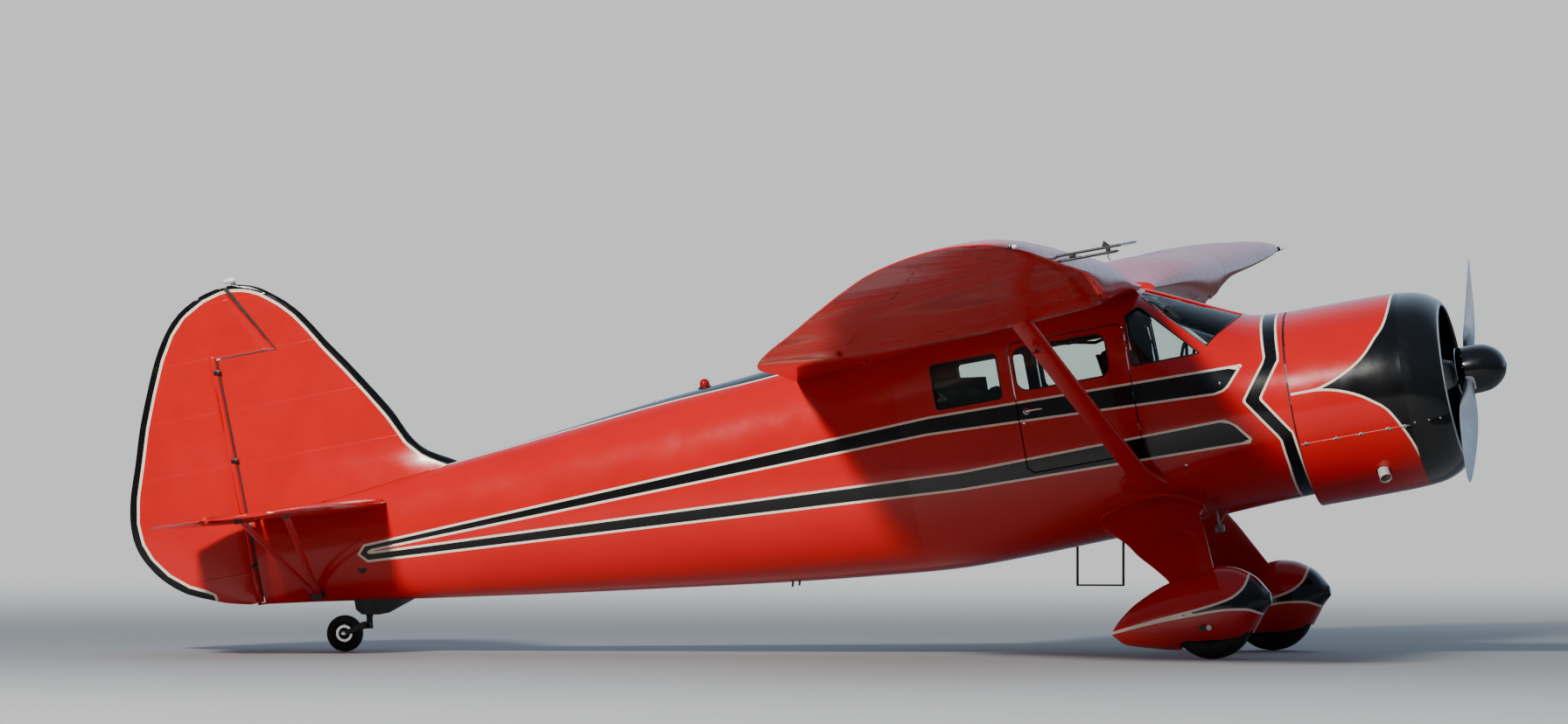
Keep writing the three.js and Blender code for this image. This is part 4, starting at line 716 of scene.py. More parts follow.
def split_at_paint(bm, paint, surfaces, tolerance):
    """Splits the faces along the paint's dividing lines, so that these stay sharp."""
    def value(points):
        return paint(lay(points, surfaces, tolerance))

    for level in (-1.0, 1.0):
        bm.verts.index_update()
        points = np.array([v.co for v in bm.verts])
        worth = value(points) - level
        edges = [e for e in bm.edges if worth[e.verts[0].index] * worth[e.verts[1].index] < 0
                 and min(abs(worth[e.verts[0].index]), abs(worth[e.verts[1].index])) > 1e-3]
        if not edges:
            continue
        ends = np.array([(e.verts[0].index, e.verts[1].index) for e in edges])
        a, b = points[ends[:, 0]], points[ends[:, 1]]
        low, high = np.zeros(len(edges)), np.ones(len(edges))
        start = np.sign(worth[ends[:, 0]])
        for _ in range(11):
            middle = (low + high) / 2
            same = np.sign(value(a + (b - a) * middle[:, None]) - level) == start
            low, high = np.where(same, middle, low), np.where(same, high, middle)
        share = np.clip((low + high) / 2, 0.02, 0.98)
        on_line = {v for v in bm.verts if abs(worth[v.index]) <= 1e-3}
        first = [e.verts[0] for e in edges]
        fresh = [bmesh.utils.edge_split(e, v, t)[1] for e, v, t in zip(edges, first, share.tolist())]
        on_line.update(fresh)
        for face in {f for v in fresh for f in v.link_faces}:
            marks = [v for v in face.verts if v in on_line]
            if len(marks) == 2:
                sides = [k for k, v in enumerate(face.verts) if v in on_line]
                if 1 < sides[1] - sides[0] < len(face.verts) - 1:
                    bmesh.utils.face_split(face, marks[0], marks[1])


def skin(name, node, body, cuts, surfaces, finish, paint=None, ridge=None, tolerance=16, sharp=35,
         inside=None, shift=None, lean_least=0.62):
    source = NODES[node].data
    bm = bmesh.new()
    bm.from_mesh(source)
    points = to_flight(np.array([v.co for v in bm.verts]))
    for vert, place in zip(bm.verts, points):
        vert.co = place
    bmesh.ops.remove_doubles(bm, verts=bm.verts, dist=0.02)
    bmesh.ops.dissolve_degenerate(bm, edges=bm.edges[:], dist=0.01)
    for place, normal in cuts:
        bmesh.ops.bisect_plane(bm, geom=bm.verts[:] + bm.edges[:] + bm.faces[:], dist=0.3,
                               plane_co=place, plane_no=normal)
    if shift:
        moved = shift(np.array([v.co for v in bm.verts]))
        for vert, place in zip(bm.verts, moved):
            vert.co = place
    if paint is not None:
        split_at_paint(bm, paint, surfaces, tolerance)
    mesh = bpy.data.meshes.new(name)
    bm.to_mesh(mesh)
    bm.free()
    points = np.zeros(len(mesh.vertices) * 3)
    mesh.vertices.foreach_get("co", points)
    points = points.reshape(-1, 3)
    corner = np.zeros(len(mesh.loops), int)
    mesh.loops.foreach_get("vertex_index", corner)
    start = np.zeros(len(mesh.polygons), int)
    mesh.polygons.foreach_get("loop_start", start)
    face_of = np.repeat(np.arange(len(start)), np.diff(np.append(start, len(corner))))
    facing = np.zeros(len(start) * 3)
    mesh.polygons.foreach_get("normal", facing)
    facing = facing.reshape(-1, 3)
    placed = points.copy()
    normals = np.zeros((len(corner), 3))
    laid = np.zeros(len(start), bool)
    for surface in surfaces:
        q, gap, normal = surface(points)
        close = gap < tolerance
        lean = (normal[corner] * facing[face_of]).sum(-1)
        fits = np.minimum.reduceat(np.where(close[corner], np.abs(lean), 0), start) > lean_least
        fits &= ~laid
        laid |= fits
        chosen = fits[face_of]
        placed[corner[chosen]] = q[corner[chosen]]
        normals[chosen] = normal[corner[chosen]] * np.sign(lean[chosen])[:, None]
    mesh.vertices.foreach_set("co", to_row(placed).ravel())
    mesh.polygons.foreach_set("use_smooth", [True] * len(start))
    mesh.update()
    mesh.set_sharp_from_angle(angle=math.radians(sharp))
    plain = np.array([tuple(n.vector) for n in mesh.corner_normals])
    turned_normals = to_row(normals) - to_row(np.zeros(3))
    turned_normals /= np.maximum(np.linalg.norm(turned_normals, axis=1, keepdims=True), 1e-9)
    chosen = laid[face_of]
    plain[chosen] = turned_normals[chosen]
    mesh.normals_split_custom_set(plain.tolist())
    for attribute, worth in (("paint", paint), ("ridge", ridge)):
        if worth is not None:
            values = mesh.attributes.new(attribute, "FLOAT", "POINT").data
            values.foreach_set("value", worth(placed).astype(np.float32))
    obj = make(name, mesh, body, [finish] + ([inside[1]] if inside else []), [node])
    if inside:
        hidden = inside[0](placed, corner, start, facing)
        mesh.polygons.foreach_set("material_index", hidden.astype(int))
    return obj


def facing_in(surface):
    """Picks the faces that look inwards, for a second finish."""
    def pick(points, corner, start, facing):
        middle = np.add.reduceat(points[corner], start) / np.diff(np.append(start, len(corner)))[:, None]
        return (surface(middle)[2] * facing).sum(-1) < -0.5
    return pick


SIDES = (("right", -1), ("left", 1))
FIN_RIB_SPACING, WING_RIB_SPACING, TAILPLANE_RIB_SPACING = 353, 205, 300
GLASS_TOLERANCE = 4.5


# The CAD's edges are straight between its stations. These move them out onto the smooth outlines.
def restretch(x, fixed, straight, curved):
    """Scales x about a fixed line so that the straight edge comes to the curved one."""
    share = (curved - fixed) / np.where(np.abs(straight - fixed) < 5, 5, straight - fixed)
    return fixed + (x - fixed) * np.clip(share, 0.8, 1.25)


def between(key, stations, table, column):
    return np.interp(key, stations, row_at(table, np.array(stations, float))[column])


RUDDER_STATIONS = [1182, 1259, 1427, 1600, 1829, 2100, 2434, 2649, 2862, 3017, 3124, 3185]
FIN_STATIONS = [1700, 1850, 1958, 2061, 2250, 2418, 2759, 2902, 3002, 3082, 3137, 3187, 3219, 3239]
TAILPLANE_STATIONS = [0, 250, 700, 1200, 1550, 1800, 1920, 1960]
WING_STATIONS = [300, 620, 1050, 1500, 2000, 2450, 2900, 3400, 3950, 4600, 5200, 5600, 5900, 6130, 6280,
                 6350, 6385]


def shift_rudder(p):
    x, z = p[:, 0], p[:, 2]
    curved = row_at(RUDDER_EDGE, z)[1]
    hinge = hinge_x(z)
    body = restretch(x, hinge, between(z, RUDDER_STATIONS, RUDDER_EDGE, 1), curved)
    rows = np.array([3124.0, 3205, 3232])
    rear = 0.92 * row_at(RUDDER_EDGE, rows)[1] + 0.08 * horn_x(rows)
    horn = restretch(x, horn_x(z), np.interp(z, rows, rear), curved)
    out = p.copy()
    out[:, 0] = np.where(z > 3186, horn, np.where(x < hinge, body, x))
    return out


def shift_fin(p):
    x, z = p[:, 0], p[:, 2]
    out = p.copy()
    out[:, 0] = restretch(x, hinge_x(z) + 36, between(z, FIN_STATIONS, FIN_EDGE, 1), row_at(FIN_EDGE, z)[1])
    return out


def shift_tailplane(column):
    def shift(p):
        y = np.abs(p[:, 1])
        stations = TAILPLANE_STATIONS if column == 2 else TAILPLANE_STATIONS[:-1]
        fixed = ELEVATOR_X + (36 if column == 1 else 0)
        out = p.copy()
        moved = restretch(p[:, 0], fixed, between(y, stations, TAILPLANE_EDGE, column),
                          row_at(TAILPLANE_EDGE, y)[column])
        out[:, 0] = np.where((p[:, 0] > fixed) == (column == 1), moved, p[:, 0])
        return out
    return shift


def shift_wing(p):
    y = np.clip(np.abs(p[:, 1]), 300, 6385)
    curved, straight = [], []
    stations = np.array(WING_STATIONS, float)
    for fraction in (0.0, 1.0):
        curved.append(wing_point(y, np.full(len(y), fraction), -1))
        ends = wing_point(stations, np.full(len(stations), fraction), -1)
        straight.append(np.stack([np.interp(y, stations, ends[:, k]) for k in (0, 1)], -1))
    f = (p[:, 0] - straight[0][:, 0]) / np.minimum(straight[1][:, 0] - straight[0][:, 0], -1)
    f = np.clip(f, 0, 1)[:, None]
    move = (curved[0] - straight[0]) * (1 - f) + (curved[1] - straight[1]) * f
    out = p.copy()
    out[:, [0, 2]] += move
    return out


FIN_OUTLINE = ([(x, z) for z, x in FIN_EDGE[1:]] + [(-6150, 3243), (-6200, 3241)]
               + [(x, z) for z, x in RUDDER_EDGE[:1:-1]])


def tail_paint(p):
    far = outline_distance(p[:, [0, 2]], FIN_OUTLINE, closed=False)
    return (far - row_at([(1100, 40), (1400, 50), (2600, 50), (3100, 40), (3300, 34)], p[:, 2])[1]) / 9


def pant_paint(p):
    return outline_distance(p[:, [0, 2]], PANT_BLACK) / HALF_PIN


# Dividing line of the wheel pants: a black nose and a band that narrows to the rear
PANT_BLACK = (
    curve_points([(-680, -4), (-353, 26), (-61, 48), (132, 75), (215, 111), (258, 153),
                  (283, 216), (290, 330)], 3)
    + [(500, 330), (500, -120), (390, -110)]
    + curve_points([(325, -54), (262, -14), (195, 2), (87, 16), (-66, 18), (-355, 15),
                    (-680, -6)], 3)
)

MIDDLES = [edge_on((-5560, 1400), (-1700, 1522)), edge_on((-5526, 1375), (-1634, 1328)),
           edge_on((-5560, 1345), (-1550, 1135))]
STERN_CUTS = (grid(0, -5600, -5480, 12) + grid(0, -5480, -5300, 30) + grid(2, 1312, 1440, 9))
shell_surfaces = [fuselage(0), fuselage(42)]
glass_surfaces = [fuselage(8), fuselage(16)]
skin("cabin_skin", "cabin_shell", "airframe",
     grid(0, -1880, 620, 55) + grid(2, 620, 2240, 50) + grid(1, -570, 600, 70) + MIDDLES,
     shell_surfaces, METAL_PAINT, fuselage_paint, inside=(facing_in(fuselage(20)), INSIDE))
skin("aft_skin", "aft_fuselage", "airframe",
     grid(0, -6250, -1900, 90) + grid(2, 640, 2190, 50) + grid(1, -560, 600, 80) + MIDDLES + STERN_CUTS,
     [fuselage(0)], FABRIC_PAINT, fuselage_paint)

cowl_cuts = [((0, 0, COWL_Z), (0, math.cos(a), math.sin(a))) for a in np.radians(np.arange(0, 180, 4))]
cowl_cuts += grid(0, 640, 1360, 40) + [((0, 0, 1304), (0, 0, 1))]
for part in ("upper", "lower"):
    skin(f"cowl_{part}_skin", f"cowl_{part}", "airframe", cowl_cuts,
         [turned(COWL_PROFILE, 0, COWL_Z), turned(COWL_PROFILE, 10, COWL_Z)], METAL_PAINT, cowl_paint,
         tolerance=6, inside=(facing_in(turned(COWL_PROFILE, 5, COWL_Z)), PRIMER))


def rib_lines(p):
    return (p[:, 2] - 2440) / FIN_RIB_SPACING + 0.5


skin("fin_skin", "fin", "airframe", grid(0, -6300, -4700, 55) + grid(2, 1720, 3240, 45),
     [sections(fin_line, 2, [0, 1])], FABRIC_RIBS, tail_paint, rib_lines, shift=shift_fin)
skin("rudder_skin", "rudder", "rudder", grid(0, -7060, -5900, 55) + grid(2, 1190, 3240, 45),
     [sections(rudder_line, 2, [0, 1])], FABRIC_RIBS, tail_paint, rib_lines, shift=shift_rudder)
skin("windshield_glass", "windshield", "airframe",
     grid(0, -260, 350, 55) + grid(1, -580, 600, 60) + grid(2, 1700, 2200, 60),
     glass_surfaces, GLASS, tolerance=GLASS_TOLERANCE)


def no_stripes(p):
    return np.full(len(p), 9.0)


def wing_ribs(p):
    return np.abs(p[:, 1]) / WING_RIB_SPACING


def tailplane_ribs(p):
    return np.abs(p[:, 1]) / TAILPLANE_RIB_SPACING


for name, side in SIDES:
    skin(f"door_skin_{name}", f"door_{name}", f"door_{name}",
         grid(0, -1110, -350, 55) + grid(2, 1110, 1950, 50) + MIDDLES, shell_surfaces, METAL_PAINT,
         fuselage_paint, inside=(facing_in(fuselage(20)), INSIDE))
    for window, body in (("door_window", f"door_{name}"), ("quarter_window", "airframe"),
                         ("rear_window", "airframe")):
        skin(f"{window}_glass_{name}", f"{window}_{name}", body, grid(0, -1640, 100, 80)
             + grid(2, 1600, 2040, 60), glass_surfaces, GLASS, tolerance=GLASS_TOLERANCE)
    wing_surface = sections(wing_line, 1, [0, 2], side)
    nose = [((-225 - d, 620 * side, 0), (1, -95 / 4580 * side, 0)) for d in range(-24, 90, 9)]
    span = [(place * side, normal) for place, normal in grid(1, 640, 6385, 75)]
    skin(f"wing_skin_{name}", f"wing_{name}", "airframe", span + grid(0, -2500, -120, 95) + nose,
         [wing_surface], WING_RIBS, no_stripes, wing_ribs, shift=shift_wing, lean_least=0.5)
    skin(f"aileron_skin_{name}", f"aileron_{name}", f"aileron_{name}",
         span[30:70] + grid(0, -2100, -900, 60), [wing_surface], WING_RIBS,
         no_stripes, wing_ribs, shift=shift_wing)
    skin(f"flap_skin_{name}", f"flap_{name}", f"flap_{name}", span[2:32] + grid(0, -2600, -1700, 60),
         [wing_surface], METAL_PAINT, no_stripes, shift=shift_wing)
    for part, node, body in (("fixed", f"stabilizer_{name}", "airframe"),
                             ("moving", f"elevator_{name}", "elevators")):
        skin(f"{node.split('_')[0]}_skin_{name}", node, body,
             [(p * side, n) for p, n in grid(1, 30, 1960, 60)] + grid(0, -6690, -5350, 55),
             [sections(tailplane_line(part), 1, [0, 2], side)], FABRIC_RIBS,
             no_stripes, tailplane_ribs, shift=shift_tailplane(1 if part == "fixed" else 2))
    skin(f"pant_skin_{name}", f"wheel_pant_{name}", "airframe",
         grid(0, -640, 380, 32) + grid(2, -210, 300, 32)
         + [(p * side, n) for p, n in grid(1, 1235, 1580, 36)],
         [sections(pant_line, 0, [1, 2], side)], METAL_PAINT, pant_paint)


# Turned and lofted pieces that stand for the CAD's coarser ones
def faired(rows, sides=40, steps=6):
    """Streamlined bar through rows of x, y, z, chord and thickness."""
    rows = smooth(rows, steps)
    run = rows[-1, 1:3] - rows[0, 1:3]
    run /= np.linalg.norm(run)
    turn = around(sides)
    loops = []
    for x, y, z, chord, thick in rows:
        along = np.cos(turn)
        across = np.sin(turn) * (0.55 + 0.45 * (along + 1) / 2) * thick / 1.6
        loops.append(np.stack([x + along * chord / 2, y - across * run[1], z + across * run[0]], -1))
    return loft(loops)


def flipped(part, side):
    points, faces = part
    return np.asarray(points) * [1, side, 1], faces


def on_side(x, z, out=0.0, side=-1):
    """Point on the fuselage's side at x and z, moved outwards a little."""
    p = np.array([[float(x), 0.0, float(z)]])
    _, top, bottom, middle, half, n_up, n_down = row_at(FUSELAGE_SECTIONS, p[:, 0])
    dz = z - middle
    n = np.where(dz >= 0, n_up, n_down)
    height = np.where(dz >= 0, top - middle, middle - bottom)
    p[:, 1] = half * np.clip(1 - np.abs(dz / height) ** n, 0, 1) ** (1 / n)
    normal = fuselage(0)(p)[2]
    return (p + normal * out)[0] * [1, side, 1]


nose = curve_points(NOSE_PROFILE[:8]) + curve_points(NOSE_PROFILE[8:], 4)
ring = Shape().add(lathe(nose, (0, 0, COWL_Z), sides=144, ring=True))
# Faces on the lip of the mouth are white: a painted highlight along the lip.
for i, face in enumerate(ring.faces):
    middle = np.mean([ring.points[k] for k in face], 0)
    reach = math.hypot(middle[1], middle[2] - COWL_Z)
    if middle[0] > 1600 and 512 < reach < 524:
        ring.finish[i] = 1
piece("cowl_nose", ring, "airframe", GLOSS_BLACK, WHITE, replaces=["cowl_nose_ring"], angle=50)

# Spinner, hub and blades, about the hub's middle and then turned to the propeller's angle
HUB = Matrix.Translation((PROP_X, 0, THRUST_Z)) @ Matrix.Rotation(PROP_RAKE, 4, "X")
cap = Shape().add(lathe([(-66, 20), (-66, 144)] + curve_points(SPINNER_PROFILE), sides=96), 0, HUB)
cap.add(lathe([(-72, 150), (-72, 152), (-64, 154), (-60, 151)], sides=96, ring=True), 1, HUB)
for turn in np.radians(np.arange(15, 360, 30)):
    cap.add(lathe([(-0.5, 5), (1.2, 4.6), (2, 3)], (-20, 153.4 * math.cos(turn), 153.4 * math.sin(turn)),
                  (0, math.cos(turn), math.sin(turn)), 10), 1, HUB)
piece("spinner_cap", cap, "propeller", GLOSS_BLACK, CHROME, replaces=["spinner"], angle=40)

hub = Shape().add(lathe([(-72, 33), (-72, 78), (-66, 84), (-50, 84), (-44, 76), (20, 76), (30, 60), (30, 33)],
                        sides=48, ring=True), 0, HUB)
for sense in (1, -1):
    shank = [(0, 46), (60, 47), (96, 50), (100, 58), (112, 58), (116, 51), (132, 51), (136, 60), (150, 60),
             (156, 44)]
    hub.add(lathe(shank, (0, 0, 0), (0, 0, sense), 40), 0, HUB)
    for turn in np.radians(np.arange(0, 360, 60)):
        hub.add(lathe([(0, 6), (9, 6), (10, 5)], (52 * math.cos(turn), 52 * math.sin(turn), sense * 112),
                      (0, 0, sense), 6), 0, HUB)
piece("propeller_hub", hub, "propeller", POLISHED, replaces=["prop_hub"])

BLADE_SIDES = 36
turn = around(BLADE_SIDES)
for blade, roll in (("a", 0), ("b", math.pi)):
    loops = []
    for radius in list(np.linspace(150, 1150, 34)) + [1175, 1195, 1208, 1215, 1219]:
        _, chord, thick, angle = row_at(BLADE_SECTIONS, radius)
        chord = chord * (1 if radius < 1180 else math.sqrt(max(0.02, 1 - ((radius - 1180) / 40) ** 2)))
        t = math.radians(angle)
        a = np.cos(turn) * chord / 2
        belly_side = np.where(np.sin(turn) > 0, 1.0, 0.75)
        b = np.sin(turn) * thick / 2 * belly_side * (0.7 + 0.3 * np.abs(np.sin(turn)))
        loops.append(np.stack([b * math.cos(t) - a * math.sin(t), a * math.cos(t) + b * math.sin(t),
                               np.full(BLADE_SIDES, radius)], -1))
    shape = Shape().add(loft(loops), 0, HUB @ Matrix.Rotation(roll, 4, "X"))
    piece(f"blade_{blade}", shape, "propeller", BLADE, replaces=[f"prop_blade_{blade}"], angle=60)

# Radial engine
AROUND = [math.radians(90 + i * 40) for i in range(9)]


def radial(angle, radius, x):
    return np.array([x, radius * math.cos(angle), THRUST_Z + radius * math.sin(angle)])


case = Shape().add(lathe([(632, 10), (632, 170), (700, 172), (720, 185), (930, 185), (950, 210), (1000, 238),
                          (1020, 250), (1040, 240), (1290, 240), (1300, 252), (1318, 252), (1326, 238),
                          (1372, 204), (1420, 168), (1470, 136), (1490, 132), (1560, 100), (1600, 84),
                          (1614, 78), (1618, 34), (1696, 32), (1700, 10)], (0, 0, THRUST_Z), sides=90))
for k in range(27):
    a = 2 * math.pi * k / 27
    case.add(lathe([(0, 7), (7, 7), (8, 6)], radial(a, 245, 1318), (1, 0, 0), 6), 1)
for k in range(12):
    a = 2 * math.pi * k / 12
    case.add(lathe([(0, 7), (8, 7), (9, 6)], radial(a, 118, 1520), (1, 0, 0), 6), 1)
    case.add(tube([radial(a, 205, 1372), radial(a, 128, 1492)], 5, 8), 0)
piece("engine_case", case, "airframe", ALLOY, STEEL, replaces=["engine"])

cylinders, pipes = Shape(), Shape()
for i, a in enumerate(AROUND):
    out = radial(a, 1, 0) - radial(a, 0, 0)
    profile = [(205, 40), (205, 78), (216, 78), (218, 60)]
    for r in np.arange(222, 378, 8.5):
        profile += [(r, 58), (r, 67), (r + 2.6, 67), (r + 2.6, 58)]
    for r in np.arange(384, 470, 10.5):
        wide = 82 - max(0, r - 440) * 0.3
        profile += [(r, 62), (r, wide), (r + 3.4, wide), (r + 3.4, 62)]
    profile += [(474, 58), (488, 44), (492, 10)]
    cylinders.add(lathe(profile, radial(a, 0, 1165), out, 36), 0)
    side = np.array([0, -math.sin(a), math.cos(a)])
    for sense in (-1, 1):
        rocker = radial(a, 478, 1172) + side * sense * 38
        cylinders.add(ball(rocker, (46, 20, 20), 8, 14), 1)
        foot, head = radial(a, 236, 1268) + side * sense * 22, radial(a, 468, 1214) + side * sense * 40
        pipes.add(tube([foot, foot * 0.5 + head * 0.5, head], 8.5, 12), 0)
        pipes.add(tube([foot, foot * 0.9 + head * 0.1], 12, 12), 1)
        plug = radial(a, 440, 1165 + sense * 76)
        cylinders.add(lathe([(-14, 9), (6, 9), (8, 6), (22, 6)], plug, (sense, 0, 0), 8), 2)
    lead = [radial(a + 0.16, 262, 1296), radial(a + 0.2, 320, 1300), radial(a + 0.14, 400, 1290),
            radial(a, 440, 1262)]
    pipes.add(tube(smooth(lead, 5), 4.5, 8), 2)
    elbow = [radial(a - 0.1, 250, 1060), radial(a - 0.17, 330, 1052), radial(a - 0.14, 420, 1070),
             radial(a - 0.04, 452, 1110)]
    pipes.add(tube(smooth(elbow, 5), 24, 16), 1)
    stack = [radial(a + 0.05, 450, 1110), radial(a + 0.12, 448, 1080), radial(a + 0.16, 402, 1070)]
    pipes.add(tube(smooth(stack, 5), 22, 16), 3)
piece("engine_cylinders", cylinders, "airframe", FINS, ALLOY, WHITE, angle=30)
loop = around(72)
pipes.add(tube([radial(a, 400, 1070) for a in loop], 26, 20, closed=True), 3)
pipes.add(tube([radial(a, 262, 1298) for a in loop], 9, 10, closed=True), 1)
outlet = [(1070, -232, 990), (1072, -248, 930), (1074, -268, 890), (1075, -285, 860), (1076, -292, 850)]
pipes.add(tube(outlet, 37, 24), 3)
for angle in (45, 135, 225, 315):
    a = math.radians(angle)
    pipes.add(tube([radial(a, 300, 634), radial(a, 225, 1012)], 14, 12), 4)
    pipes.add(tube([radial(a, 300, 634), radial(a + 0.8, 225, 1012)], 11, 12), 4)
HOT = base("exhaust_steel", linear((120, 92, 74)), 0.5, 0.8, mottle=0.3, dirt=linear((60, 44, 38)),
           grain=0.0003, grain_scale=160)[0]
piece("engine_pipes", pipes, "airframe", CHROME, ALLOY, SATIN_BLACK, HOT, STEEL)

start, stop = np.array([1075, -285, 860.0]), np.array([1122, -452, 668.0])
way = (stop - start) / np.linalg.norm(stop - start)
reach = float(np.linalg.norm(stop - start))
stub = lathe([(0.5, 20), (0.5, 38), (reach - 8, 38), (reach - 3, 39.5), (reach, 38.5), (reach - 1, 34),
              (reach - 120, 33), (reach - 120, 20)], start, way, 48, ring=True)
piece("exhaust_stub", Shape().add(stub), "airframe", base(
    "exhaust_bright", linear((222, 216, 208)), 0.38, 0.35, mottle=0.08, dirt=linear((170, 158, 144)))[0],
    replaces=["exhaust_pipe"], angle=40)

# Wheels
def tyre_shape(radius, width, rim, sides, ribs):
    half = width / 2
    side = [(-half * 0.60, rim + 1), (-half * 0.86, rim + (radius - rim) * 0.18),
            (-half, rim + (radius - rim) * 0.45), (-half * 0.97, rim + (radius - rim) * 0.66),
            (-half * 0.84, radius * 0.935), (-half * 0.62, radius * 0.975), (-half * 0.36, radius * 0.997)]
    left = curve_points(side, 5)
    crown = []
    for k in range(ribs):
        y = (k + 0.5) / ribs * 0.72 * half - 0.36 * half
        crown += [(y - 0.03 * half, radius), (y - 0.02 * half, radius - 5), (y + 0.02 * half, radius - 5),
                  (y + 0.03 * half, radius)]
    return lathe(left + crown + [(-y, r) for y, r in left[::-1]], direction=(0, 1, 0), sides=sides, ring=True)


for name, side in SIDES:
    at = Matrix.Translation((AXLE[0], AXLE[1] * side, AXLE[2]))
    piece(f"tyre_{name}", Shape().add(tyre_shape(**MAIN_TYRE), 0, at), f"main_wheel_{name}", RUBBER,
          replaces=[f"main_tyre_{name}"])
    rim = [(-80, 27), (-80, 40), (-70, 60), (-34, 112), (-44, 122), (-62, 126), (-64, 131), (-60, 131.5),
           (60, 131.5), (64, 131), (62, 126), (44, 122), (34, 112), (70, 60), (80, 40), (80, 27)]
    wheel = Shape().add(lathe(rim, direction=(0, 1, 0), sides=64, ring=True), 0, at)
    for k in range(8):
        a = k * math.pi / 4
        for end in (-1, 1):
            wheel.add(lathe([(0, 7), (8, 7), (9, 5)], (82 * math.cos(a), end * 56, 82 * math.sin(a)),
                            (0, end, 0), 6), 1, at)
    piece(f"wheel_{name}", wheel, f"main_wheel_{name}", ALLOY, STEEL, replaces=[f"main_hub_{name}"])
    refinish(STEEL, f"main_axle_{name}")

at = Matrix.Translation(TAIL_AXLE)
piece("tail_tyre", Shape().add(tyre_shape(**TAIL_TYRE), 0, at), "tailwheel", RUBBER,
      replaces=["tailwheel_tyre"], space=upright)
rim = [(-31, 9.5), (-31, 20), (-26, 24), (-12, 30), (-14, 40), (-24, 52), (-24, 57), (24, 57), (24, 52),
       (14, 40), (12, 30), (26, 24), (31, 20), (31, 9.5)]
wheel = Shape().add(lathe(rim, direction=(0, 1, 0), sides=48, ring=True), 0, at)
for end in (-1, 1):
    wheel.add(lathe([(end * 25.5, 36), (end * 25.5, 56), (end * 28, 54), (end * 28, 38)], direction=(0, 1, 0),
                    sides=48, ring=True), 1, at)
piece("tail_wheel", wheel, "tailwheel", STEEL, POLISHED, replaces=["tailwheel_hub"], space=upright)

fork = Shape()
arm_y = TAIL_TYRE["width"] / 2 + 12
for side in (1, -1):
    y = side * arm_y
    rows = smooth([(SWIVEL_X + 6, 176, 22), (SWIVEL_X - 44, 168, 21), (-5806, 140, 18), (-5862, 119, 15),
                   (-5880, 117, 10)], 5)
    loops = [[(x, y - 5, z + h), (x, y - 2, z + h + 2), (x, y + 2, z + h + 2), (x, y + 5, z + h),
              (x, y + 5, z - h), (x, y + 2, z - h - 2), (x, y - 2, z - h - 2), (x, y - 5, z - h)]
             for x, z, h in rows]
    fork.add(loft(loops), 0)
    fork.add(lathe([(0, 15), (5, 15), (6, 9), (14, 8)], (-5866, y + side * 4, 118), (0, side, 0), 20), 1)
fork.add(block((SWIVEL_X - 18, -arm_y - 5, 150), (SWIVEL_X + 12, arm_y + 5, 190), 6), 0)
fork.add(lathe([(0, 22), (14, 24), (20, 22), (78, 20), (84, 24), (89.5, 24)], (SWIVEL_X, 0, 150),
               (0, 0, 1), 32), 0)
fork.add(tube([(-5866, -arm_y - 3, 118), (-5866, arm_y + 3, 118)], 8.5, 16), 1)
piece("tail_fork", fork, "tailwheel_caster", SATIN_BLACK, POLISHED, replaces=["tailwheel_fork"],
      space=upright)

# Struts, legs and braces
for name, side in SIDES:
    strut = Shape().add(flipped(faired([(-412, 540, 905, 330, 130), (-412, 640, 944, 250, 90),
                                        (-410, 760, 992, 150, 52), (-460, 1040, 1155, 140, 50),
                                        (-580, 1700, 1545, 140, 50), (-699, 2400, 1959, 140, 50),
                                        (-716, 2500, 2018, 150, 54), (-733, 2600, 2077, 170, 70)]), side), 0)
    strut.add(flipped(lathe([(0, 12), (8, 14), (12, 12), (30, 9)], (-680, 2290, 1812), (0, 0, 1), 16),
                      side), 1)
    strut.add(flipped(block((-710, 2270, 1810), (-650, 2310, 1822), 2), side), 0)
    strut.add(flipped(block((-706, 2284, 1812), (-654, 2296, 1940), 2), side), 0)
    piece(f"strut_{name}", strut, "airframe", PLAIN_RED, STEEL, replaces=[f"wing_strut_{name}"], angle=50)
    leg = Shape().add(flipped(faired([(-395, 430, 755, 680, 190), (-390, 560, 684, 660, 170),
                                      (-378, 640, 645, 600, 120), (-300, 800, 550, 515, 96),
                                      (-240, 960, 455, 455, 88), (-170, 1130, 358, 375, 78),
                                      (-107, 1300, 262, 304, 74), (-90, 1400, 205, 290, 74)], 64), side), 0)
    piece(f"leg_{name}", leg, "airframe", PLAIN_RED, replaces=[f"gear_leg_{name}"], angle=60)
    braces = Shape()
    for x in (-5767, -6072):
        top = ELEVATOR_Z + (x - ELEVATOR_X) * TAILPLANE_TILT
        foot, head = np.array([-5919, 40, 1142.0]), np.array([x, 1500, top - 6])
        rows = [(*(foot + (head - foot) * t), *((28, 14) if t in (0, 1) else (44, 20)))
                for t in (0, 0.03, 0.08, 0.5, 0.92, 0.97, 1)]
        braces.add(flipped(faired(rows, 28, 4), side), 0)
        braces.add(flipped(block(head - [26, 26, 34], head + [26, 26, 2], 3), side), 1)
        braces.add(flipped(lathe([(-16, 7), (-14, 9), (14, 9), (16, 7)], head - [0, 0, 22], (1, 0, 0), 12),
                           side), 1)
    braces.add(flipped(block((-5959, 40, 1136), (-5879, 130, 1178), 4), side), 1)
    piece(f"braces_{name}", braces, "airframe", PLAIN_RED, STEEL, replaces=[f"tail_brace_{name}"], angle=50)

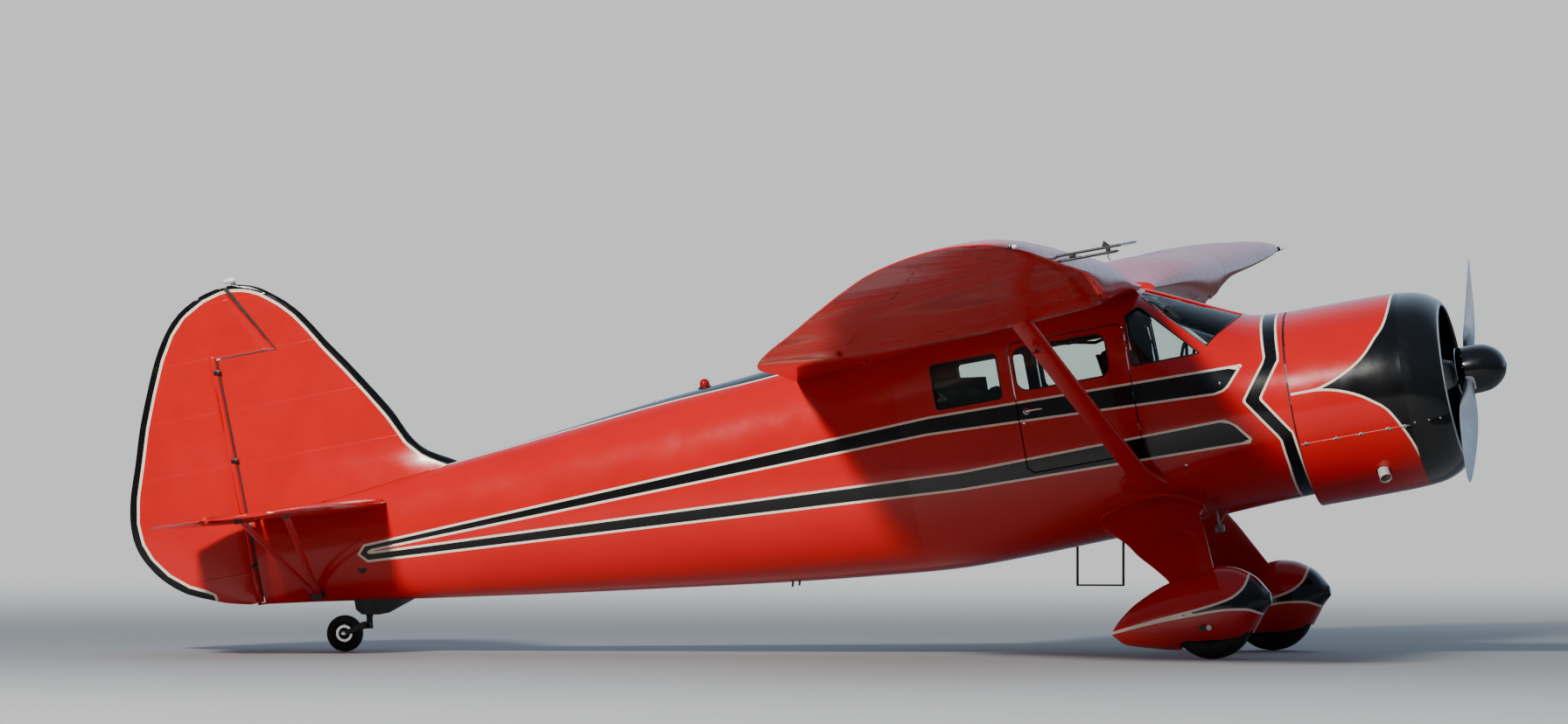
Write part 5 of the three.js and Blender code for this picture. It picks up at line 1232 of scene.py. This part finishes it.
boom = Shape()
for z, end in ((2338, 372), (2304, 252)):
    boom.add(tube([(-190, -4400, z), (end - 110, -4400, z), (end - 100, -4400, z)], 8.6, 20), 0)
    boom.add(tube([(end - 101, -4400, z), (end - 24, -4400, z), (end - 8, -4400, z), (end, -4400, z)],
                  [8.8, 8.8, 6, 3], 20), 1 if z > 2320 else 0)
boom.add(block((172, -4405, 2304), (202, -4395, 2338), 2), 0)
boom.add(block((-60, -4405, 2304), (-20, -4395, 2338), 2), 0)
boom.add(tube(smooth([(182, -4400, 2300), (180, -4400, 2268), (190, -4400, 2258)], 4), 3.2, 10), 0)
boom.add(loft([[(150, y, 2345), (205, y, 2345), (168, y, 2384)] for y in (-4402, -4398)]), 0)
piece("pitot", boom, "airframe", SATIN_BLACK, CHROME, replaces=["pitot_boom"])

step = Shape().add(block((-1148, 430, 430), (-837, 470, 440), 2.5), 0)
for x in (-1148, -849):
    step.add(block((x, 430, 432), (x + 12, 470, 868), 2.5), 0)
step.add(block((-1128, 433, 439.6), (-857, 467, 441), 0.5), 1)
piece("step", step, "airframe", SATIN_BLACK, RUBBER, replaces=["boarding_step"], space=upright)
refinish(SATIN_BLACK, "tailwheel_mount", "elevator_torque_tube", "firewall")


# Small fittings outside
def bead(points):
    """Rubber seal round a window."""
    return tube(points, 5.5, 8, closed=True)


def round_outline(outline, radius, steps=5):
    """Outline in x and z with its corners rounded."""
    out = []
    points = [np.array(q, float) for q in outline]
    for before, at_corner, after in zip(points[-1:] + points[:-1], points, points[1:] + points[:1]):
        a, b = before - at_corner, after - at_corner
        cut = min(radius, 0.45 * np.linalg.norm(a), 0.45 * np.linalg.norm(b))
        a, b = at_corner + a / np.linalg.norm(a) * cut, at_corner + b / np.linalg.norm(b) * cut
        for t in np.linspace(0, 1, steps):
            out.append((1 - t) ** 2 * a + 2 * t * (1 - t) * at_corner + t * t * b)
    dense = []
    for a, b in zip(out, out[1:] + out[:1]):
        count = max(1, int(np.linalg.norm(b - a) / 35))
        dense += [a + (b - a) * k / count for k in range(count)]
    return dense


def cut_corners(x1, x2, z1, z2, c):
    return [(x1 + c, z1), (x2 - c, z1), (x2, z1 + c), (x2, z2 - c), (x2 - c, z2), (x1 + c, z2), (x1, z2 - c),
            (x1, z1 + c)]


QUARTER = [(-340, 1662), (98, 1668), (-232, 2018), (-258, 2034), (-340, 1990)]
DOOR_WINDOW = cut_corners(-1095, -486, 1632, 1908, 42)
REAR_WINDOW = cut_corners(-1636, -1200, 1608, 1900, 16)

# Pale pink for the line along the cowl's joint: a painted highlight on the seam.
SEAM_HIGHLIGHT = base("painted_seam_highlight", (0.8, 0.35, 0.3, 1.0), 0.35, mottle=0.1)[0]
for name, side in SIDES:
    seals = Shape()
    for outline, radius in ((QUARTER, 20), (REAR_WINDOW, 12)):
        seals.add(bead([on_side(x, z, -3, side) for x, z in round_outline(outline, radius)]), 0)
    front = (curve_points([(345, 1866), (285, 1818), (200, 1762), (142, 1708)], 4)
             + curve_points([(142, 1712), (40, 1812), (-100, 1954), (-236, 2092)]))
    seals.add(tube([on_side(x, z, -2, side) for x, z in front], 5.5, 8), 0)
    piece(f"window_seals_{name}", seals, "airframe", SATIN_BLACK)
    fittings = Shape()
    fittings.add(bead([on_side(x, z, -3, side) for x, z in round_outline(DOOR_WINDOW, 40)]), 0)
    grip = on_side(-1062, 1500, 2, side)
    fittings.add(lathe([(0, 22), (4, 22), (6, 18), (22, 9), (26, 9)], grip, (0, side, 0), 24), 1)
    handle = [grip + [0, side * 26, 0], grip + [40, side * 30, 2], grip + [104, side * 27, 0]]
    fittings.add(tube(smooth(handle, 4), [8, 9, 9, 8.5, 8, 7.5, 7, 6.5, 6], 12), 1)
    fittings.add(lathe([(0, 9), (3, 9), (4, 7)], on_side(-1090, 1430, 1, side), (0, side, 0), 16), 1)
    piece(f"door_fittings_{name}", fittings, f"door_{name}", SATIN_BLACK, CHROME)

    small = Shape()
    for x, z in ((-113, 978), (-338, 769), (197, 1456)):
        p = on_side(x, z, -1, side)
        small.add(lathe([(0, 9), (4, 9), (6, 6)], p, p - on_side(x, z, -9, side), 16), 0)
    for x, z in ((674, 975), (873, 975), (1034, 975), (1215, 975), (1320, 975)):
        out = math.sqrt(633 ** 2 - (z - COWL_Z) ** 2)
        p = np.array([x, side * out, z])
        small.add(lathe([(-1, 13), (3, 12), (5, 7)], p, (0, side * out, z - COWL_Z), 18), 0)
        small.add(block(p - [34, 2, 3], p + [34, 2, 3], 1.2), 0)
    for x in (1385, 1475, 1545):
        radius = float(row_at(NOSE_PROFILE[:7], x)[1])
        out = math.sqrt(radius ** 2 - 220 ** 2)
        small.add(lathe([(-2, 8), (3, 7), (4, 4)], (x, side * out, COWL_Z - 220), (0, side, -0.4), 14), 0)
    piece(f"fasteners_{name}", small, "airframe", CHROME)

    # Rivets round the firewall joint
    rivets = Shape()
    for a in np.arange(-80, 90, 6):
        y, z = math.cos(math.radians(a)), math.sin(math.radians(a))
        rivets.add(lathe([(-1, 4), (1, 3.6), (1.8, 2)], (650, side * 632 * y, COWL_Z + 632 * z),
                         (0, side * y, z), 8), 0)
    piece(f"rivets_{name}", rivets, "airframe", PLAIN_RED)

    cap_on_pant = Shape()
    y = AXLE[1] + 178
    cap_on_pant.add(lathe([(-4, 17), (2, 17), (5, 13), (6, 6)], (-13, side * y, -78), (0, side, 0), 24), 0)
    # The black disc inside a red ring stands where the pant has a hole: painted shade of the hole's inside.
    cap_on_pant.add(lathe([(-3, 20), (1.5, 20), (1.8, 18)], (-58, side * (y - 1), -74), (0, side, 0), 24), 1)
    cap_on_pant.add(lathe([(1, 21.5), (2.4, 21.5), (2.4, 19.5), (1, 19.5)], (-58, side * (y - 1), -74),
                          (0, side, 0), 24, ring=True), 2)
    piece(f"pant_cap_{name}", cap_on_pant, "airframe", WHITE, SATIN_BLACK, PLAIN_RED)

    # Lamps on the wing tips, and a thin pale pink line along the cowl's joint, a painted highlight
    lamps = Shape()
    lamps.add(ball(np.array([-186, side * 6000, 2399.0]), (42, 19, 15), 12, 20), 0)
    lamps.add(ball(np.array([-156, side * 6001, 2400.0]), (24, 15, 13), 12, 18), 1)
    lamps.add(ball(np.array([-176, side * 6001, 2409.0]), (20, 12, 10), 10, 16), 2)
    piece(f"tip_lamp_{name}", lamps, "airframe", SATIN_BLACK, WHITE, CHROME)
    line = []
    for x in (640, 760, 900, 1050, 1200, 1340):
        for dz in (-1.6, 1.6):
            z = COWL_SEAM_Z + 2 + dz
            line.append((x, side * math.sqrt(633.9 ** 2 - (z - COWL_Z) ** 2), z))
            line.append((x, side * math.sqrt(631.5 ** 2 - (z - COWL_Z) ** 2), z))
    loops = [[line[k], line[k + 2], line[k + 3], line[k + 1]] for k in range(0, len(line), 4)]
    piece(f"cowl_joint_{name}", Shape().add(loft(loops)), "airframe", SEAM_HIGHLIGHT)
    for y in (1250, 1900):
        top = wing_point(np.array([y]), np.array([0.3]), 1)[0]
        cap = lathe([(-6, 40), (3, 40), (6, 34), (8, 12)], (top[0], side * y, top[1]), (0.05, 0, 1), 28)
        piece(f"filler_cap_{name}_{y}", Shape().add(cap), "airframe", ALLOY)

top = Shape()
top.add(lathe([(0, 46), (10, 45), (16, 38), (17, 33)], (-3191, 0, 2028), (0, 0, 1), 32), 1)
top.add(lathe([(15, 32), (34, 33), (52, 28), (62, 16), (65, 3)], (-3191, 0, 2028), (0, 0, 1), 32), 0)
top.add(lathe([(18, 14), (44, 12), (48, 4)], (-3191, 0, 2028), (0, 0, 1), 16), 2)
top.add(tube([(-3534, 0, 1996), (-3530, 0, 2040), (-3524, 0, 2066)], [4, 3.4, 2.4], 10), 2)
top.add(lathe([(0, 16), (4, 15), (6, 6)], (-3534, 0, 2000), (0, 0, 1), 18), 1)
piece("beacon", top, "airframe", RED_LENS, SATIN_BLACK, WHITE)
strobe = Shape().add(lathe([(0, 15), (22, 15), (24, 12)], (-6120, 0, 3232), (0, 0, 1), 20), 1)
strobe.add(ball((-6140, 0, 3272), (46, 17, 20), 12, 20), 0)
piece("strobe", strobe, "airframe", WHITE, ALLOY)

belly = Shape()
for x in (-2838, -2793):
    belly.add(tube([(x, -60, 740), (x - 4, -60, 690), (x - 12, -60, 668)], 7, 12), 0)
belly.add(block((-16, -330, 560), (-4, -290, 660), 3), 1)
belly.add(block((-40, -326, 520), (20, -294, 566), 5), 1)
belly.add(tube([(-16, -300, 560), (30, -262, 630), (40, -250, 650)], 6, 10), 1)
piece("belly_fittings", belly, "airframe", STEEL, ALLOY)

hinges = Shape()
for z in (2700, 2117, 1420):
    x = hinge_x(z)
    for y in (-30, 30):
        hinges.add(block((x - 4, y - 6, z - 14), (x + 44, y + 6, z + 14), 3), 0)
    hinges.add(lathe([(-36, 6), (-34, 9), (34, 9), (36, 6)], (x + 12, 0, z), (0, 1, 0), 12), 1)
piece("rudder_hinges", hinges, "airframe", SATIN_BLACK, ALLOY)

# Painted shade: dark strips that close the gap ahead of the rudder, clear of its nose, standing for the shade
# inside the gap
gap_shade = Shape()
for heights in ((1216, 1400, 1600, 1694), (1762, 1900, 2200, 2500, 2776)):
    rows = [(z, hinge_x(z), hinge_x(z) + 34.6 if z > 1740 else -6277.6) for z in heights]
    gap_shade.add(loft([[(h + 29, 0, z), (h + 28, -8, z), (h + 24.8, -15, z), (back, -15, z), (back, 15, z),
                    (h + 24.8, 15, z), (h + 28, 8, z)] for z, h, back in rows]), 0)
HORN_GAP_SHADE = ((2785, -5924.2, -5912.8), (3010, -6061.3, -6040), (3232, -6196.6, -6165.8))
gap_shade.add(loft([[(front + 2, -12, z), (back, -12, z), (back, 12, z), (front + 2, 12, z)]
               for z, front, back in HORN_GAP_SHADE]), 0)
gap_shade.add(block((-6290, -12, 2779.5), (-5914, 12, 2786.5), 1), 0)
piece("rudder_gap_shade", gap_shade, "airframe", SATIN_BLACK)

# Middle frame over the windshield
spine = []
for x in np.linspace(-250, 345, 18):
    top = float(row_at(FUSELAGE_SECTIONS, x)[1])
    spine.append([(x, -34, top - 12), (x, -34, top - 1), (x, -20, top + 2), (x, 20, top + 2),
                  (x, 34, top - 1), (x, 34, top - 12)])
piece("windshield_rib", Shape().add(loft(spine)), "airframe", PLAIN_RED, angle=50)

# Painted shade: black triangles laid on the stern's sides where it has openings, standing for the shade
# inside them.
opening_shade = Shape()
for side in (-1, 1):
    corners = [(-5625, 1287), (-5546, 1273), (-5592, 1241)]
    points = [on_side(x, z, 0.8, side) for x, z in corners] + [on_side(x, z, -5, side) for x, z in corners]
    opening_shade.add((points, [(0, 1, 2), (5, 4, 3), (0, 3, 4, 1), (1, 4, 5, 2), (2, 5, 3, 0)]), 0)
piece("stern_opening_shade", opening_shade, "airframe", SATIN_BLACK)

# Cuffs where the gear legs leave the belly
for name, side in SIDES:
    cuff = Shape()
    edge = smooth([(-735, 430, 672), (-715, 560, 742), (-640, 618, 770), (-500, 640, 812), (-380, 648, 826),
                   (-240, 642, 806), (-120, 618, 756), (-62, 560, 716), (-56, 430, 668)], 8)
    cuff.add(flipped(tube(edge, 7, 10), side), 0)
    piece(f"leg_cuff_{name}", cuff, "airframe", PLAIN_RED)

# Cloth, carpet and inside fittings
CLOTH, tree, shader = base("seat_cloth", linear((74, 72, 74)), 0.9, mottle=0.14, Sheen_Weight=0.35)
place = add(tree, "TexCoord").outputs["Object"]
warp = [add(tree, "TexWave", {"Vector": place, "Scale": 190.0, "Distortion": 1.2, "Detail": 1.0},
            wave_type="BANDS", bands_direction=axis).outputs["Fac"] for axis in "YZ"]
height = calc(tree, "ADD", calc(tree, "MAXIMUM", *warp), calc(tree, "MULTIPLY", noise(tree, 30, 3.0), 1.4))
tree.links.new(add(tree, "Bump", {"Height": height, "Strength": 0.7, "Distance": 0.0012}).outputs[0],
               shader.inputs["Normal"])
PIPING = base("seat_piping", linear((120, 24, 26)), 0.6, mottle=0.15, grain=0.0004, grain_scale=500)[0]
CARPET = base("carpet", linear((54, 50, 50)), 0.97, mottle=0.3, grain=0.003, grain_scale=420,
              Sheen_Weight=0.3)[0]
DIAL = base("dial_face", linear((16, 17, 18)), 0.35, mottle=0.1)[0]
refinish(CARPET, "cabin_floor", "luggage_box")


PAD_EDGE, PAD_CROWN, PAD_PINCH, PAD_CELLS = 38, 14, 0.05, 34
CHANNEL_DEPTH, CHANNEL_WIDTH = 9, 7.0
ACROSS = 1


def pad(low, high, radius, crown, channels):
    """Crowned cushion: full in the middle, pulled in between its corners, with sewn channels."""
    low, high = np.array(low, float), np.array(high, float)
    centre, half = (low + high) / 2, (high - low) / 2
    bm = bmesh.new()
    bmesh.ops.create_cube(bm, size=2)
    bmesh.ops.subdivide_edges(bm, edges=bm.edges[:], cuts=PAD_CELLS, use_grid_fill=True)
    q = np.array([v.co for v in bm.verts])
    faces = [tuple(v.index for v in f.verts) for f in bm.faces]
    bm.free()
    p = q * half
    inner = np.clip(p, -(half - radius), half - radius)
    out = p - inner
    length = np.linalg.norm(out, axis=1, keepdims=True)
    p = inner + out / np.maximum(length, 1e-9) * radius
    thin = int(np.argmin(half))
    u, v = [q[:, k] for k in range(3) if k != thin]
    dome = (1 - u ** 4) * (1 - v ** 4)
    p[:, thin] += np.sign(q[:, thin]) * crown * dome * (np.abs(q[:, thin]) ** 0.5)
    for k in range(3):
        if k != thin:
            other = [m for m in range(3) if m not in (k, thin)][0]
            p[:, k] *= 1 - PAD_PINCH * (1 - q[:, other] ** 2)
    for place in channels:
        gap = (q[:, ACROSS] - place) * half[ACROSS]
        edge = np.clip((1 - np.abs(q[:, 3 - thin - ACROSS])) * 12, 0, 1)
        groove = CHANNEL_DEPTH * np.exp(-(gap / CHANNEL_WIDTH) ** 2)
        p[:, thin] -= np.sign(q[:, thin]) * groove * (0.25 + 0.75 * edge)
    return p + centre, faces


def rim(low, high, radius, up):
    """Piping round the top edge of a pad that lies flat, at height up."""
    low, high = np.array(low, float), np.array(high, float)
    (x1, y1), (x2, y2) = low[:2], high[:2]
    corners = [(x1, y1), (x2, y1), (x2, y2), (x1, y2)]
    centre = (low + high)[:2] / 2
    half = (high - low)[:2] / 2
    path = []
    for x, z in round_outline(corners, radius * 1.2, 6):
        q = (np.array([x, z]) - centre) / half
        pull = 1 - PAD_PINCH * (1 - q[::-1] ** 2)
        path.append([*(centre + q * half * pull * 0.985), up])
    return tube(path, 4.5, 8, closed=True)


PUFF_PRESSURE, PUFF_LIMIT, PUFF_FRAMES = 4.0, 0.018, 16


def puff(obj):
    """Swells a pad under cloth pressure, with a limit on how far a point may move."""
    rest = np.array([v.co for v in obj.data.vertices])
    bpy.context.view_layer.objects.active = obj
    cloth = obj.modifiers.new("cloth", "CLOTH")
    cloth.settings.use_pressure = True
    cloth.settings.uniform_pressure_force = PUFF_PRESSURE
    cloth.settings.effector_weights.gravity = 0
    cloth.settings.quality = 4
    cloth.point_cache.frame_end = PUFF_FRAMES
    scene = bpy.context.scene
    for number in range(1, PUFF_FRAMES + 1):
        scene.frame_set(number)
    ready = obj.evaluated_get(bpy.context.evaluated_depsgraph_get())
    swollen = np.array([v.co for v in ready.data.vertices])
    obj.modifiers.remove(cloth)
    scene.frame_set(1)
    move = swollen - rest
    length = np.linalg.norm(move, axis=1, keepdims=True)
    move *= np.minimum(1, PUFF_LIMIT / np.maximum(length, 1e-9))
    obj.data.vertices.foreach_set("co", (rest + move).ravel())
    obj.data.update()


def seat_pads(prefix, body, node, cushion, back, tilt_at, tilt, channels):
    """Cushion and back of one seat. The back is made upright and then leans about a point."""
    leaning = (Matrix.Translation(tilt_at) @ Matrix.Rotation(tilt, 4, "Y")
               @ Matrix.Translation(-Vector(tilt_at)))
    for part, (low, high), lean, nodes in (("cushion", cushion, Matrix.Identity(4), [node]),
                                           ("back", back, leaning, ())):
        shape = Shape().add(pad(low, high, PAD_EDGE, PAD_CROWN, channels), 0, lean)
        obj = piece(f"{prefix}_{part}", shape, body, CLOTH, angle=180, replaces=nodes)
        puff(obj)
    trim = Shape()
    low, high = cushion
    for up in (high[2] - 10, low[2] + PAD_CROWN):
        trim.add(rim(low, high, PAD_EDGE, up), 0)
    piece(f"{prefix}_piping", trim, body, PIPING)


CABIN_FLOOR = 800
for name, side in SIDES:
    y1, y2 = sorted((side * 60, side * 480))
    seat_pads(f"seat_{name}", "airframe", f"front_seat_{name}", ((-425, y1, 1062), (5, y2, 1168)),
              ((-480, y1 + 8, 1176), (-392, y2 - 8, 1812)), (-440, 0, 1170), -0.13, (-0.5, 0, 0.5))
    seat_frame = Shape()
    for y in (y1 + 30, y2 - 30):
        rail = smooth([(-12, y, 1052), (-240, y, 1050), (-400, y, 1052), (-470, y, 1120), (-500, y, 1300),
                       (-574, y, 1780)], 5)
        seat_frame.add(tube(rail, 11, 12), 0)
        for x in (-60, -390):
            seat_frame.add(tube([(x, y, 1050), (x - 10, y, CABIN_FLOOR + 16)], 10, 12), 0)
        seat_frame.add(block((-440, y - 12, CABIN_FLOOR + 1), (-20, y + 12, CABIN_FLOOR + 16), 3), 1)
    for x, z in ((-60, 1050), (-390, 1050), (-572, 1770)):
        seat_frame.add(tube([(x, y1 + 30, z), (x, y2 - 30, z)], 10, 12), 0)
    piece(f"seat_frame_{name}", seat_frame, "airframe", STEEL, ALLOY)

seat_pads("bench", "airframe", "rear_seat", ((-1322, -522, 1070), (-862, 522, 1192)),
          ((-1400, -518, 1188), (-1306, 518, 1728)), (-1350, 0, 1180), -0.10,
          (-0.75, -0.5, -0.25, 0, 0.25, 0.5, 0.75))
bench = Shape().add(block((-1326, -508, CABIN_FLOOR + 1), (-904, 508, 1066), 8), 0)
bench.add(block((-1440, -512, 1062), (-1330, 512, 1190), 8), 0)
piece("bench_base", bench, "airframe", INSIDE)

# Instrument panel with plain dials, and the two control wheels
heights = np.linspace(1370, 1712, 20)
board = [abs(on_side(235, z, -52)[1]) for z in heights]
edge = [(-w, z) for w, z in zip(board, heights)] + [(w, z) for w, z in zip(board[::-1], heights[::-1])]
panel = Shape().add(loft([[(x, y, z) for y, z in edge] for x in (235, 253)]), 0)
panel.add(block((196, -430, 1700), (262, 430, 1718), 8), 0)
dials = [(y, 1610, 44) for y in (-400, -300, -200, 200, 300, 400)]
dials += [(y, 1510, 44) for y in (-350, -250, 250, 350)]
dials += [(y, z, 34) for z in (1620, 1530) for y in (-90, 0, 90)]
for k, (y, z, radius) in enumerate(dials):
    bezel = [(0, radius), (-7, radius), (-9, radius - 3), (-6, radius - 7), (0, radius - 7)]
    panel.add(lathe(bezel, (235, y, z), (1, 0, 0), 32, ring=True), 1)
    panel.add(lathe([(0, radius - 6), (-1.5, radius - 6), (-1.6, 1)], (235, y, z), (1, 0, 0), 32), 2)
    for tick in range(12):
        a = tick * math.pi / 6
        p = np.array([232.6, y + (radius - 12) * math.cos(a), z + (radius - 12) * math.sin(a)])
        panel.add(block(p - [0.6, 1.6, 1.6], p + [0.6, 1.6, 1.6], 0.4, 1), 3)
    a = 1.1 + 1.7 * k
    tip = np.array([231.8, y + (radius - 13) * math.cos(a), z + (radius - 13) * math.sin(a)])
    panel.add(tube([(231.8, y, z), tip], [2.0, 0.8], 6), 3)
for k in range(9):
    panel.add(lathe([(0, 5), (-16, 5), (-18, 9), (-26, 8)], (235, -180 + 45 * k, 1430), (1, 0, 0), 12), 4)
for y in (-270, 270):
    panel.add(tube([(240, y, 1560), (100, y, 1598), (-52, y, 1640)], [15, 13, 13], 16), 4)
    lean = Matrix.Translation((-55, y, 1640)) @ Matrix.Rotation(0.25, 4, "Y")
    circle = [(0, 118 * math.cos(a), 118 * math.sin(a)) for a in around(48)]
    panel.add(tube(circle, 11, 14, closed=True), 4, lean)
    for a in (0.0, math.pi, -math.pi / 2):
        spoke = [(0, r * math.cos(a), r * math.sin(a)) for r in (20, 112)]
        panel.add(tube(spoke, [10, 7], 10), 0, lean)
    panel.add(lathe([(-14, 24), (-10, 28), (12, 28), (14, 20)], (0, 0, 0), (1, 0, 0), 24), 5, lean)
CRACKLE = base("panel_crackle", linear((30, 30, 32)), 0.55, mottle=0.2, grain=0.0006, grain_scale=420)[0]
piece("panel", panel, "airframe", CRACKLE, SATIN_BLACK, DIAL, WHITE, GLOSS_BLACK, CHROME,
      replaces=["instrument_panel"])

# Frame tubes inside the cabin
tubes = Shape()
for side in (-1, 1):
    for path, radius, sides in (
            ([(172, 400, 1704), (40, 400, 1853), (-90, 400, 2000)], 13, 14),
            ([(-330, 545, 1960), (-720, 560, 1880), (-1130, 560, 1960)], 11, 12),
            ([(-1160, 566, 1230), (-1160, 566, 1600), (-1160, 548, 2060)], 13, 12)):
        tubes.add(tube([(x, side * y, z) for x, y, z in path], radius, sides), 0)
piece("cabin_tubes", tubes, "airframe", SATIN_BLACK)


# Floor and light
FLOOR_COLOR = ((0.27, 0.27, 0.265, 1), (0.30, 0.30, 0.295, 1))
FLOOR_FADE = (6.0, 32.0)
BACKDROP = (0.80, 0.81, 0.82, 1)


def stage():
    sides, rings_out = 96, [0.02, 4, 9, 16, 28, 45, 70, 120]
    turn = around(sides)
    loops = [np.stack([r * np.cos(turn) - 1, r * np.sin(turn), np.full(sides, -0.0015)], -1)
             for r in rings_out]
    points, faces = loft(loops, ends=False)
    mesh = bpy.data.meshes.new("floor")
    mesh.from_pydata(points.tolist(), [], [*faces, list(range(sides))])
    floor = in_scene("floor", mesh)
    material = bpy.data.materials.new("floor_surface")
    material.use_nodes = True
    tree = material.node_tree
    shader = tree.nodes["Principled BSDF"]
    shader.inputs["Roughness"].default_value = 0.7
    place = add(tree, "NewGeometry").outputs["Position"]
    fleck = add(tree, "TexNoise", {"Vector": place, "Scale": 3.0, "Detail": 5.0}).outputs["Fac"]
    tree.links.new(mixed(tree, fleck, FLOOR_COLOR[0], FLOOR_COLOR[1]), shader.inputs["Base Color"])
    distance = add(tree, "VectorMath", {0: place}, operation="LENGTH").outputs["Value"]
    fade = ramp(tree, distance, *FLOOR_FADE)
    gone = add(tree, "BsdfTransparent").outputs[0]
    blend = add(tree, "MixShader", {0: fade, 1: shader.outputs[0], 2: gone}).outputs[0]
    tree.links.new(blend, tree.nodes["Material Output"].inputs["Surface"])
    mesh.materials.append(material)


stage()


def lamp(name, place, aim, size, power, color=(1, 1, 1)):
    data = bpy.data.lights.new(name, "AREA")
    data.shape = "RECTANGLE"
    data.size, data.size_y = size
    data.energy = power
    data.color = color
    obj = in_scene(name, data)
    obj.location = place
    obj.rotation_euler = (Vector(aim) - Vector(place)).to_track_quat("-Z", "Y").to_euler()
    return obj


lamp("key", (-7.5, -25, 16.2), (0, -0.5, 1.2), (3.2, 3.2), 12600, (1.0, 0.97, 0.92))
lamp("back", (-2, 22, 14), (0, 0, 1.6), (16, 8), 900, (0.86, 0.93, 1.0)).visible_glossy = False

world = bpy.data.worlds.new("studio")
bpy.context.scene.world = world
world.use_nodes = True
tree = world.node_tree
sky = tree.nodes["Background"]
way = add(tree, "SeparateXYZ", {0: add(tree, "TexCoord").outputs["Generated"]}).outputs
rise = ramp(tree, way["Z"], -0.05, 0.6)
beyond = ramp(tree, way["Y"], 0.1, 0.8)
above = ramp(tree, way["Z"], -0.02, 0.08)
around_it = mixed(tree, rise, (0.10, 0.11, 0.12, 1), (0.15, 0.20, 0.28, 1))
around_it = mixed(tree, calc(tree, "MULTIPLY", beyond, above), around_it, (0.50, 0.66, 0.86, 1))
seen = add(tree, "LightPath")
direct = calc(tree, "MAXIMUM", seen.outputs["Is Camera Ray"], seen.outputs["Is Transmission Ray"])
tree.links.new(mixed(tree, direct, around_it, BACKDROP), sky.inputs["Color"])
sky.inputs["Strength"].default_value = 1.0
